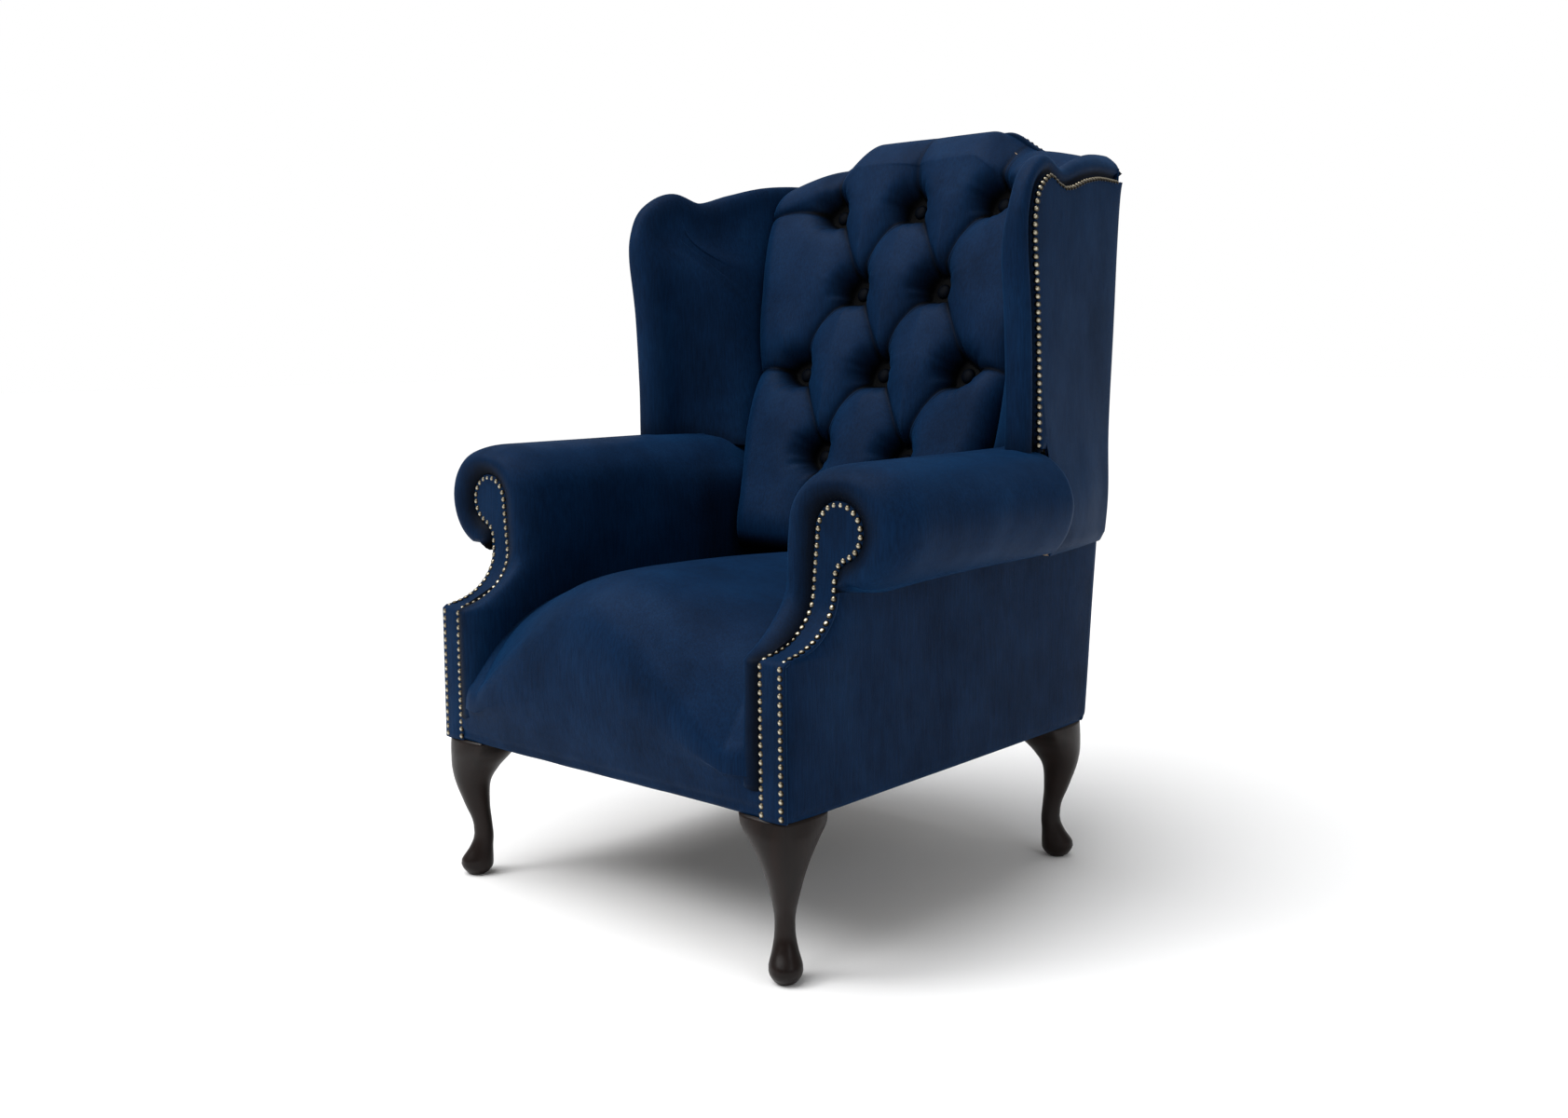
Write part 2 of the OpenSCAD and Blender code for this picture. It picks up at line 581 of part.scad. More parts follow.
// ---- covers of the arms ----
module arm_facing(side) color(velvet) on_side(side) {
    across(row_in - facing_lap, half_w, concat(front_line(0, sweep_top), reversed(front_line(wrap, sweep_top))));
    backwards(roll_set, roll_set + wrap) scroll(5, sweep_top);
}
module outside_arm(side) color(velvet) on_side(side) across(frame_half, half_w, concat(
    front_line(wrap, sweep_top - gap),
    [[raked(chair_d - wrap, sweep_top - gap), sweep_top - gap], [raked(chair_d - wrap, leg_h), leg_h]]));

// ---- nails ----
// Upholstery nail's head at a place, turned from facing forwards (0) to facing up (90),
// and then outwards by turn
module nail(p, turn = 0) translate(place(p)) rotate([90 - p[3], 0, 0]) rotate([0, turn, 0])
    cylinder(h = nail_h, r1 = nail_r, r2 = nail_r / 2, $fn = 16);
function sweep_tilt(t) = atan2(roll_set * cos(t), (sweep_top - shoulder_h) * sin(t));
function sweep_row(x0, x1) = [for (i = [1 : sweep_steps - 1]) let (t = 90 * i / sweep_steps, p = sweep(t))
    [x0 + (x1 - x0) * i / sweep_steps, p[0], p[1], sweep_tilt(t)]];
nail_low = leg_h + nail_r + 1;
facing_path = concat(
    [[row_in, 0, nail_low, 0], [row_in, 0, shoulder_h - nail_r, 0]],
    sweep_row(row_in, row_in + 4), [[row_in + 4, roll_set, sweep_top, 0]],
    [for (a = [180 : -15 : 180 - 15 * floor((180 - join_angle) / 15)])
        [head_x + scroll_r * cos(a), roll_set, head_z + scroll_r * sin(a), 0]],
    [for (a = [180 + join_angle : 15 : 180])
        [hollow_x + hollow_r * cos(a), roll_set, hollow_z + hollow_r * sin(a), 0]],
    reversed(sweep_row(row_out, row_out + 5)),
    [[row_out, 0, shoulder_h - nail_r, 0], [row_out, 0, nail_low, 0]]);
module facing_nails(side) color(pewter) on_side(side) for (p = spaced(facing_path, nail_pitch)) nail(p);

wing_nail_path = [for (i = [0 : last_edge]) let (p = set_back(i, wing_bevel), d = edge_run(i))
    [splay_x(p[0]) - 1, p[0], max(p[1], wing_foot + nail_r), atan2(d[0], d[1])]];
module wing_nails(side) color(pewter) on_side(side)
    for (p = spaced(wing_nail_path, nail_pitch)) nail(p, 45);

// Nails round the outside back: up one side, over the crest and down the other
edge = 9;
back_side_x = half_w - edge;
back_side_top = crest(back_side_x, edge);
function on_rear(x, z) = [x, raked(chair_d, z), z, 180 + atan(rear_lean)];
back_nail_path = concat(
    [on_rear(-back_side_x, nail_low)],
    [for (i = [-20 : 20]) let (x = back_side_x * i / 20) on_rear(x, crest(x, edge))],
    [on_rear(back_side_x, nail_low)]);
module back_nails() color(pewter) stand() for (p = spaced(back_nail_path, nail_pitch)) nail(p);

front_rail();
rear_rail();
side_rail(left);  // side_rail_left
side_rail(right);  // side_rail_right
corner_blocks();
front_post(left);  // front_post_left
front_post(right);  // front_post_right
back_post(left);  // back_post_left
back_post(right);  // back_post_right
arm_rail(left);  // arm_rail_left
arm_rail(right);  // arm_rail_right
scroll_board(left);  // scroll_board_left
scroll_board(right);  // scroll_board_right
arm_tack_rail(left);  // arm_tack_rail_left
arm_tack_rail(right);  // arm_tack_rail_right
back_tack_rail();
crest_rail();
wing_board(left);  // wing_board_left
wing_board(right);  // wing_board_right
seat_springs();
spring_clips();
seat_hessian();
seat_foam();
seat_cover();
back_webbing();
back_hessian();
back_foam();
back_pad();
back_buttons();
button_twines();
arm_pad(left);  // arm_pad_left
arm_pad(right);  // arm_pad_right
wing_pad(left);  // wing_pad_left
wing_pad(right);  // wing_pad_right
arm_facing(left);  // arm_facing_left
arm_facing(right);  // arm_facing_right
outside_arm(left);  // outside_arm_left
outside_arm(right);  // outside_arm_right
outside_wing(left);  // outside_wing_left
outside_wing(right);  // outside_wing_right
outside_back();
dust_cover();
facing_nails(left);  // facing_nails_left
facing_nails(right);  // facing_nails_right
wing_nails(left);  // wing_nails_left
wing_nails(right);  // wing_nails_right
back_nails();
leg(left, 0);  // leg_front_left
leg(right, 0);  // leg_front_right
leg(left, 1);  // leg_rear_left
leg(right, 1);  // leg_rear_right
leg_bolts();
glides();
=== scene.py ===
import json
import math
import bmesh
import bpy
import numpy as np
from mathutils import Matrix, Vector

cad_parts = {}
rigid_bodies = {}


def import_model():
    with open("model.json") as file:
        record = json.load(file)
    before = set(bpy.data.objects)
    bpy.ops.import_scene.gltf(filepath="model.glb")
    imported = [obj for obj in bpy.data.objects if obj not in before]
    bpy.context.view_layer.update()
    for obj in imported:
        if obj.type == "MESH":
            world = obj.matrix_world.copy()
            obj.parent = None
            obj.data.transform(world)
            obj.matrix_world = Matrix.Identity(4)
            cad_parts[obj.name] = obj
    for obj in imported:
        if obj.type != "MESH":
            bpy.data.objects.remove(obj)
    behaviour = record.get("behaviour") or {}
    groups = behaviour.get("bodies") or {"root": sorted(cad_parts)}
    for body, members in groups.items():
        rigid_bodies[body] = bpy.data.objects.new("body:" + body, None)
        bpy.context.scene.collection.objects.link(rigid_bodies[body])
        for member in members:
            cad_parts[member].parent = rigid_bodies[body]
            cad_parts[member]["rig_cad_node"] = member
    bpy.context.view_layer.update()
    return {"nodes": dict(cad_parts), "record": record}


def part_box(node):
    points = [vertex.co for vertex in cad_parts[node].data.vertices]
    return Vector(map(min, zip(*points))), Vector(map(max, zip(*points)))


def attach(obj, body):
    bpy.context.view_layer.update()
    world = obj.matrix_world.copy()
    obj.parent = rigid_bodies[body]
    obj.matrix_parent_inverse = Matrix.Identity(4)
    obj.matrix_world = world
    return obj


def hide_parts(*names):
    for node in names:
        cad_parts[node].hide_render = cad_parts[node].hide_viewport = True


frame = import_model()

# Wing armchair: velvet covers, buttoned back, nail rows and turned-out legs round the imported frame.
# Shapes are worked out in metres with y = 0 at the front cover, and frontY moves them to the frame.

# places taken from the frame
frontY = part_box("arm_facing_left")[0].y
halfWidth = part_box("outside_arm_left")[1].x
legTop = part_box("outside_arm_left")[0].z
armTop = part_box("arm_pad_left")[1].z
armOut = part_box("arm_pad_left")[1].x
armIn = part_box("arm_pad_left")[0].x
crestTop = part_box("back_pad")[1].z
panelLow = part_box("outside_wing_left")[0].z
rearLean = 0.12
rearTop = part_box("outside_back")[1].y - frontY
chairDepth = rearTop - rearLean * (crestTop - legTop)
sides = {"left": 1, "right": -1}


def smoothStep(t):
    t = np.clip(t, 0, 1)
    return t * t * (3 - 2 * t)


def evenly(points, count):
    # the same line with its points an equal run apart
    run = np.r_[0, np.cumsum(np.linalg.norm(np.diff(points, axis=0), axis=1))]
    stops = np.linspace(0, run[-1], count)
    return np.stack([np.interp(stops, run, points[:, k]) for k in range(points.shape[1])], 1)


def through(points, count, even=True):
    # a Catmull-Rom curve: each span is the cubic fixed by its two ends and their neighbours
    p = np.asarray(points, float)
    p = np.vstack([2 * p[0] - p[1], p, 2 * p[-1] - p[-2]])
    t = np.linspace(0, len(p) - 3, 30 * (len(p) - 3) + 1)
    i = np.minimum(t.astype(int), len(p) - 4)
    f = (t - i)[:, None]
    a, b, c, d = p[i], p[i + 1], p[i + 2], p[i + 3]
    line = 0.5 * (2 * b + (c - a) * f + (2 * a - 5 * b + 4 * c - d) * f**2 + (3 * b - a - 3 * c + d) * f**3)
    return evenly(line, count) if even else line


def hermite(start, startPull, end, endPull, s):
    # cubic from start to end whose directions at its ends are the two pulls
    return ((2 * s**3 - 3 * s**2 + 1) * start + (s**3 - 2 * s**2 + s) * startPull
            + (3 * s**2 - 2 * s**3) * end + (s**3 - s**2) * endPull)


def rearY(z):
    # the outside back leans back as it rises
    return chairDepth + rearLean * (z - legTop)


def ripple(x, y, z, size, seed):
    # slow unevenness of hand-laid padding: a sum of sines in unlike directions
    rng = np.random.default_rng(seed)
    total = np.zeros(np.broadcast(x, y, z).shape)
    for k in range(7):
        wave = rng.normal(size=3)
        wave *= 2 * math.pi / (size * rng.uniform(0.7, 1.6)) / np.linalg.norm(wave)
        total += np.sin(x * wave[0] + y * wave[1] + z * wave[2] + rng.uniform(0, 6.28))
    return total / 7


def makeMesh(name, points, faces, material, closed=True, hollow=None):
    points = np.asarray(points, float).reshape(-1, 3) + [0, frontY, 0]
    mesh = bpy.data.meshes.new(name)
    mesh.from_pydata(points.tolist(), [], faces)
    if hollow is not None:     # painted shade, by how deep in a fold each point lies, read by the velvet
        attribute = mesh.attributes.new("hollow", "FLOAT", "POINT")
        attribute.data.foreach_set("value", np.asarray(hollow, np.float32).ravel())
    if closed:
        bm = bmesh.new()
        bm.from_mesh(mesh)
        bmesh.ops.remove_doubles(bm, verts=bm.verts, dist=1e-5)
        bmesh.ops.dissolve_degenerate(bm, edges=bm.edges, dist=1e-5)
        bmesh.ops.recalc_face_normals(bm, faces=bm.faces)
        bm.to_mesh(mesh)
        bm.free()
    mesh.polygons.foreach_set("use_smooth", [True] * len(mesh.polygons))
    mesh.materials.append(material)
    piece = bpy.data.objects.new(name, mesh)
    bpy.context.scene.collection.objects.link(piece)
    return piece


def gridFaces(rows, columns, loop=False):
    # quads between neighbouring rows and columns, with the last column joined to the first on a loop
    index = np.arange(rows * columns).reshape(rows, columns)
    if loop:
        index = np.c_[index, index[:, 0]]
    corners = [index[:-1, :-1], index[:-1, 1:], index[1:, 1:], index[1:, :-1]]
    return np.stack(corners, -1).reshape(-1, 4).tolist()


def gridRim(rows, columns):
    # the grid's outermost points, once round
    index = np.arange(rows * columns).reshape(rows, columns)
    return np.r_[index[0, :-1], index[:-1, -1], index[-1, :0:-1], index[:0:-1, 0]]


def padPiece(name, grid, heart, material, hollow):
    # a grid closed to a solid by a fan from its rim to a point inside it
    rows, columns = grid.shape[:2]
    rim = gridRim(rows, columns)
    faces = gridFaces(rows, columns)
    faces += np.c_[np.roll(rim, -1), rim, np.full(len(rim), rows * columns)].tolist()
    # painted shade at each point, with full painted shade at the heart
    deep = np.append(np.clip(hollow, 0, 1).ravel(), 1.0)
    return makeMesh(name, np.vstack([grid.reshape(-1, 3), heart]), faces, material, hollow=deep)


def panelPiece(name, grid, thickness, outwards, material):
    # a grid with a second face a thickness inside it, joined round the rim
    rows, columns = grid.shape[:2]
    normal = np.cross(np.gradient(grid, axis=1), np.gradient(grid, axis=0))
    normal /= np.maximum(np.linalg.norm(normal, axis=-1, keepdims=True), 1e-9)
    normal *= np.sign((normal * outwards).sum(-1, keepdims=True) + 1e-9)
    inside = grid - thickness * normal
    rim = gridRim(rows, columns)
    faces = gridFaces(rows, columns)
    faces += (np.array(faces)[:, ::-1] + rows * columns).tolist()
    after = np.roll(rim, -1)
    faces += np.c_[after, rim, rim + rows * columns, after + rows * columns].tolist()
    return makeMesh(name, np.vstack([grid.reshape(-1, 3), inside.reshape(-1, 3)]), faces, material)


def onSide(grid, side):
    return grid * [sides[side], 1, 1]


def newFinish(name):
    finish = bpy.data.materials.new(name)
    finish.use_nodes = True
    nodes, links = finish.node_tree.nodes, finish.node_tree.links
    return finish, nodes, links, nodes["Principled BSDF"]


def addNode(nodes, kind, inputs=None, **settings):
    node = nodes.new(kind)
    for key, value in settings.items():
        setattr(node, key, value)
    for key, value in (inputs or {}).items():
        node.inputs[key].default_value = value
    return node


def grey(level):
    return (level, level, level)


def stretchedNoise(nodes, links, stretch, scale, detail=4.0, roughness=0.55):
    # noise on the piece's own coordinates, drawn out along one axis by an uneven scale
    place = addNode(nodes, "ShaderNodeTexCoord")
    turn = addNode(nodes, "ShaderNodeMapping", {"Scale": stretch})
    noise = addNode(nodes, "ShaderNodeTexNoise", {"Scale": scale, "Detail": detail, "Roughness": roughness})
    links.new(place.outputs["Object"], turn.inputs["Vector"])
    links.new(turn.outputs["Vector"], noise.inputs["Vector"])
    return noise


def colourRamp(nodes, links, source, stops):
    ramp = addNode(nodes, "ShaderNodeValToRGB")
    elements = ramp.color_ramp.elements
    while len(elements) < len(stops):
        elements.new(0.5)
    for element, (where, colour) in zip(elements, stops):
        element.position = where
        element.color = (*colour, 1)
    links.new(source, ramp.inputs["Fac"])
    return ramp


def addBump(nodes, links, shader, height, distance, strength=1.0, under=None):
    bump = addNode(nodes, "ShaderNodeBump", {"Strength": strength, "Distance": distance})
    links.new(height, bump.inputs["Height"])
    if under:
        links.new(under.outputs["Normal"], bump.inputs["Normal"])
    links.new(bump.outputs["Normal"], shader.inputs["Normal"])
    return bump


velvetSettings = {
    "deep": (0.0012, 0.0078, 0.025),
    "mid": (0.0018, 0.0125, 0.040),
    "light": (0.0028, 0.0190, 0.057),
    "sheen": 0.17,
    "sheenTint": (0.03, 0.20, 0.52),
    # colour of the painted shade in pits, pleats, valleys and seams
    "paintedShade": (0.0002, 0.0004, 0.0008),
}


def velvetFinish(name):
    finish, nodes, links, shader = newFinish(name)
    cloud = stretchedNoise(nodes, links, (1, 1, 0.7), 9.0, 5.0, 0.62)
    nap = colourRamp(nodes, links, cloud.outputs["Fac"], [
        (0.28, velvetSettings["deep"]), (0.52, velvetSettings["mid"]), (0.78, velvetSettings["light"])])
    streak = stretchedNoise(nodes, links, (1, 1, 0.08), 420.0, 2.0)
    fleck = colourRamp(nodes, links, streak.outputs["Fac"], [(0.3, grey(0.72)), (0.7, grey(1.25))])
    blend = addNode(nodes, "ShaderNodeMix", {0: 0.75}, data_type="RGBA", blend_type="MULTIPLY")
    links.new(nap.outputs["Color"], blend.inputs[6])
    links.new(fleck.outputs["Color"], blend.inputs[7])
    # painted shade: the hollow attribute mixes the colour towards near black
    hollow = addNode(nodes, "ShaderNodeAttribute", attribute_name="hollow")
    shade = addNode(nodes, "ShaderNodeMix", data_type="RGBA")
    links.new(hollow.outputs["Fac"], shade.inputs[0])
    links.new(blend.outputs[2], shade.inputs[6])
    shade.inputs[7].default_value = (*velvetSettings["paintedShade"], 1)
    links.new(shade.outputs[2], shader.inputs["Base Color"])
    # the sheen fades out in the painted shade as well
    fading = [(0.0, grey(velvetSettings["sheen"])), (0.6, grey(0))]
    glow = colourRamp(nodes, links, hollow.outputs["Fac"], fading)
    links.new(glow.outputs["Color"], shader.inputs["Sheen Weight"])
    rough = colourRamp(nodes, links, cloud.outputs["Fac"], [(0.3, grey(0.62)), (0.75, grey(0.5))])
    links.new(rough.outputs["Color"], shader.inputs["Roughness"])
    shader.inputs["Sheen Roughness"].default_value = 0.32
    shader.inputs["Sheen Tint"].default_value = (*velvetSettings["sheenTint"], 1)
    shader.inputs["Specular IOR Level"].default_value = 0.04
    pile = stretchedNoise(nodes, links, (1, 1, 0.35), 900.0, 3.0)
    soft = addBump(nodes, links, shader, cloud.outputs["Fac"], 0.004, 0.25)
    addBump(nodes, links, shader, pile.outputs["Fac"], 0.0006, 0.55, soft)
    return finish


def nailFinish():
    # painted highlight on the top of a head, painted shade round its rim
    finish, nodes, links, shader = newFinish("antiqueNail")
    rim = addNode(nodes, "ShaderNodeAttribute", attribute_name="rim")
    # the metal's colour, with a painted highlight at 0 and painted shade towards the rim
    tone = colourRamp(nodes, links, rim.outputs["Fac"], [
        (0.0, (0.72, 0.68, 0.56)), (0.14, (0.46, 0.42, 0.32)),
        (0.4, (0.07, 0.058, 0.04)), (0.8, (0.010, 0.008, 0.006))])
    wear = stretchedNoise(nodes, links, (1, 1, 1), 260.0)
    patina = colourRamp(nodes, links, wear.outputs["Fac"], [(0.35, (0.55, 0.52, 0.48)), (0.65, grey(1))])
    blend = addNode(nodes, "ShaderNodeMix", {0: 1.0}, data_type="RGBA", blend_type="MULTIPLY")
    links.new(tone.outputs["Color"], blend.inputs[6])
    links.new(patina.outputs["Color"], blend.inputs[7])
    links.new(blend.outputs[2], shader.inputs["Base Color"])
    rough = colourRamp(nodes, links, wear.outputs["Fac"], [(0.3, grey(0.42)), (0.7, grey(0.24))])
    links.new(rough.outputs["Color"], shader.inputs["Roughness"])
    shader.inputs["Metallic"].default_value = 1.0
    return finish


def woodFinish(name, dark, light, roughness, specular, grain):
    # grain runs up the piece: noise drawn out along Z, with finer pores over it
    finish, nodes, links, shader = newFinish(name)
    bands = stretchedNoise(nodes, links, grain, 42.0, 6.0, 0.6)
    tone = colourRamp(nodes, links, bands.outputs["Fac"], [(0.3, dark), (0.7, light)])
    links.new(tone.outputs["Color"], shader.inputs["Base Color"])
    pores = stretchedNoise(nodes, links, tuple(3 * g for g in grain), 160.0, 3.0)
    duller = [(0.3, grey(roughness + 0.12)), (0.7, grey(roughness))]
    rough = colourRamp(nodes, links, pores.outputs["Fac"], duller)
    links.new(rough.outputs["Color"], shader.inputs["Roughness"])
    shader.inputs["Specular IOR Level"].default_value = specular
    addBump(nodes, links, shader, pores.outputs["Fac"], 0.0003, 0.3)
    return finish


def wovenFinish(name, dark, light, threads, roughness=0.9):
    # two crossed sets of waves, one for each way of the threads
    finish, nodes, links, shader = newFinish(name)
    place = addNode(nodes, "ShaderNodeTexCoord")
    both = addNode(nodes, "ShaderNodeMath", operation="MULTIPLY")
    for slot, direction in enumerate("XZ"):
        settings = {"Scale": threads, "Distortion": 1.2, "Detail": 1.0}
        wave = addNode(nodes, "ShaderNodeTexWave", settings, bands_direction=direction)
        links.new(place.outputs["Object"], wave.inputs["Vector"])
        links.new(wave.outputs["Fac"], both.inputs[slot])
    tone = colourRamp(nodes, links, both.outputs[0], [(0.0, dark), (0.6, light)])
    links.new(tone.outputs["Color"], shader.inputs["Base Color"])
    shader.inputs["Roughness"].default_value = roughness
    addBump(nodes, links, shader, both.outputs[0], 0.0006, 0.7)
    return finish


def grainyFinish(name, dark, light, scale, roughness, metallic=0.0):
    finish, nodes, links, shader = newFinish(name)
    noise = stretchedNoise(nodes, links, (1, 1, 1), scale)
    tone = colourRamp(nodes, links, noise.outputs["Fac"], [(0.35, dark), (0.65, light)])
    links.new(tone.outputs["Color"], shader.inputs["Base Color"])
    shader.inputs["Metallic"].default_value = metallic
    shader.inputs["Roughness"].default_value = roughness
    addBump(nodes, links, shader, noise.outputs["Fac"], 0.0005, 0.5)
    return finish


velvet = velvetFinish("navyVelvet")
antiqueNail = nailFinish()
mahogany = woodFinish(
    "darkMahogany", (0.0028, 0.0012, 0.0009), (0.0085, 0.0030, 0.0018), 0.30, 0.20, (1, 1, 0.12))
beech = woodFinish("planedBeech", (0.42, 0.27, 0.14), (0.62, 0.44, 0.26), 0.62, 0.50, (1, 0.15, 0.4))
springSteel = grainyFinish("springSteel", (0.28, 0.28, 0.29), (0.42, 0.42, 0.43), 180.0, 0.38, 1.0)
juteCloth = wovenFinish("juteCloth", (0.22, 0.15, 0.08), (0.55, 0.42, 0.26), 160.0)
foamBlock = grainyFinish("seatFoam", (0.66, 0.60, 0.42), (0.84, 0.79, 0.62), 320.0, 0.95)
waxedTwine = wovenFinish("waxedTwine", (0.50, 0.46, 0.36), (0.80, 0.76, 0.66), 500.0, 0.7)
dustCloth = wovenFinish("dustCloth", (0.008, 0.008, 0.009), (0.028, 0.028, 0.030), 420.0)
glideNylon = grainyFinish("glideNylon", (0.035, 0.032, 0.03), (0.06, 0.055, 0.05), 240.0, 0.5)
cadFinishes = {
    "frame_wood": beech, "steel": springSteel, "hessian": juteCloth, "foam": foamBlock, "twine": waxedTwine,
    "dust_cloth": dustCloth, "glide_plastic": glideNylon, "leg_wood": mahogany, "nail_metal": antiqueNail,
    "velvet": velvet}
# the pieces that stay as the frame has them take the finish that their slot names
for part in frame["record"]["subparts"]:
    for materialSlot in frame["nodes"][part["node"]].material_slots:
        materialSlot.material = cadFinishes[part["material_slot"]]
print("finishes made")

# the inside back, with its rows of buttons counted down from the crest
back = {
    "seatDepth": 0.522,      # button line's distance behind the front cover at the seat's crown
    "crown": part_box("seat_cover")[1].z,
    "lean": 0.378,
    "tuft": 0.049,           # height of a puff over the button line
    "buttonGap": 0.160,
    "rowGap": 0.130,
    "rowDrop": 0.124,
    "buttonRadius": 0.012,
    "pit": 0.0205,           # how quickly the padding rises from a button
    "valley": 0.0085,        # depth and half width of the hollow a pleat lies in
    "valleyWidth": 0.024,
    "crease": 0.0062,        # depth and half width of the pleat's own fold
    "creaseWidth": 0.0045,
    "bow": 0.011,            # how far a slanting pleat bows outwards
    "low": 0.435,
    "roll": 0.062,           # height over which the padding turns over the crest
    "sideRound": 0.040,      # width over which it turns down to its side seams
    "doubleFold": np.array([0.0085, -0.004]),      # from a pleat to the second fold beside it
    "columns": 250,
    "rows": 250,
    "rollRows": 44,
}
# half width of the back at rising heights, out to where it tucks behind the wings and arms
backWidths = [(0.43, 0.213), (0.507, 0.222), (0.614, 0.243), (0.719, 0.252), (0.813, 0.277), (0.91, 0.297),
              (0.993, 0.314), (1.035, 0.326), (1.06, 0.330)]
planeUp = np.array([back["lean"], 1.0]) / math.hypot(1, back["lean"])
planeOut = np.array([-planeUp[1], planeUp[0]])


def buttonY(z):
    return back["seatDepth"] + back["lean"] * (z - back["crown"])


def backHalf(z):
    heights, widths = np.array(backWidths).T
    return np.interp(z, heights, widths)


# half widths of the raised middle at the rear edge and on the padding, and the line's rise and fall beside it
crest = {"halfRear": 0.170, "halfPad": 0.148, "sweep": 0.082, "rise": 0.036, "fall": 0.038}


def crestZ(x, half=crest["halfRear"]):
    # shoulders that fall to the wings as a square, and a cosine sweep up to the raised middle
    away = np.abs(x) - half
    rise = np.clip(away / crest["sweep"] + 0.5, 0, 1)
    fall = np.clip(away / (halfWidth - half), 0, None)
    hump = crest["rise"] * (1 + np.cos(math.pi * rise)) / 2
    return crestTop - crest["rise"] + hump - crest["fall"] * fall**2


rowHeights = [crestTop - back["rowDrop"] - k * back["rowGap"] for k in range(4)]
buttons = [(i * back["buttonGap"], z, k) for k, z in enumerate(rowHeights)
           for i in ((-1, 0, 1) if k % 2 == 0 else (-0.5, 0.5))]


def bowed(a, b):
    # a pleat that leaves the upper button sideways and drops into the lower one
    a, b = np.array(a), np.array(b)
    t = np.linspace(0, 1, 15)[:, None]
    side = np.array([np.sign(b[0] - a[0]), 0.55])
    return a + (b - a) * t + back["bow"] * side * np.sin(math.pi * t)


pleats = []
for bx, bz, k in buttons:
    below = [(x, z) for x, z, row in buttons if row == k + 1 and abs(x - bx) < back["buttonGap"]]
    pleats += [bowed((bx, bz), lower) for lower in below]
    if k == 0:
        pleats.append(through([(bx, bz), (bx * 1.02, bz + 0.06), (bx * 1.05, bz + 0.30)], 12))
    if k % 2 == 0 and bx != 0:
        edge = math.copysign(backHalf(bz) + 0.01, bx)
        pleats.append(through([(bx, bz), ((bx + edge) / 2, bz + 0.004), (edge, bz - 0.008)], 12))
    if k == 3:
        pleats.append(through([(bx, bz), (bx * 1.02, bz - 0.08), (bx, bz - 0.2)], 12))


def distanceTo(line, x, z):
    # least distance from each point to the line's straight spans
    best = np.full(x.shape, 9.0)
    for (ax, az), (bx, bz) in zip(line[:-1], line[1:]):
        dx, dz = bx - ax, bz - az
        t = np.clip(((x - ax) * dx + (z - az) * dz) / (dx * dx + dz * dz), 0, 1)
        best = np.minimum(best, np.hypot(x - ax - t * dx, z - az - t * dz))
    return best


def tufting(x, z, squeeze):
    # distances to the nearest button, pleat and second fold, and the share of the way over the crest
    button = np.min([np.hypot((x - bx) * squeeze, z - bz) for bx, bz, k in buttons], axis=0)
    pleat = np.min([distanceTo(line, x, z) for line in pleats], axis=0)
    second = np.min([distanceTo(line + back["doubleFold"], x, z) for line in pleats], axis=0)
    over = np.clip(z - rowHeights[0] - 0.03, 0, 0.12) / 0.12
    return button, pleat, second, over


def puffHeight(x, z):
    # rises from each button as one less an exponential; a pleat is a soft hollow with a narrow fold in it
    button, pleat, second, over = tufting(x, z, 0.92)
    rise = 1 - np.exp(-(np.clip(button - 0.005, 0, None) / back["pit"]) ** 1.9)
    near = np.exp(-button / 0.032)
    valley = (back["valley"] + 0.016 * near) * (1 - 0.35 * over)
    valley *= np.exp(-(pleat / back["valleyWidth"]) ** 1.6)
    fold = back["crease"] * (1 - 0.45 * over) * np.exp(-(pleat / back["creaseWidth"]) ** 1.3)
    double = 0.0022 * np.exp(-((button - 0.042) / 0.020) ** 2) * np.exp(-(second / 0.0035) ** 1.5)
    swell = 0.005 * (1 - np.exp(-(pleat / 0.05) ** 2))
    # small gathers fanning out of each button
    gathers = np.zeros_like(x)
    for n, (bx, bz, k) in enumerate(buttons):
        r = np.hypot(x - bx, z - bz)
        angle = np.arctan2(z - bz, x - bx)
        fan = np.sin(11 * angle + 1.7 * n) + 0.6 * np.sin(17 * angle + 2.9 * n)
        gathers += 0.0011 * fan * np.exp(-((r - 0.030) / 0.013) ** 2)
    return (back["tuft"] + swell) * rise - valley - fold - double + gathers


def paintedFoldShade(x, z):
    # painted shade: near 1 in a button's pit, and less along the pleats
    button, pleat, second, over = tufting(x, z, 0.85)
    pit = 1 / (1 + (button / 0.0225) ** 5)
    line = 0.62 * (1 - 0.6 * over) * np.exp(-(pleat / 0.0028) ** 1.5)
    line += 0.50 * np.exp(-((button - 0.042) / 0.020) ** 2) * np.exp(-(second / 0.0022) ** 1.5)
    wide = 0.40 * np.exp(-(pleat / 0.014) ** 2) * np.exp(-button / 0.05)
    wide += 0.22 * np.exp(-(button / 0.034) ** 2)
    return np.clip(pit + line + wide, 0, 1)


def roundOff(distance, reach):
    # a quarter circle from 0 at an edge to 1 at its reach
    return np.sqrt(1 - (1 - np.clip(distance / reach, 0, 1)) ** 2)


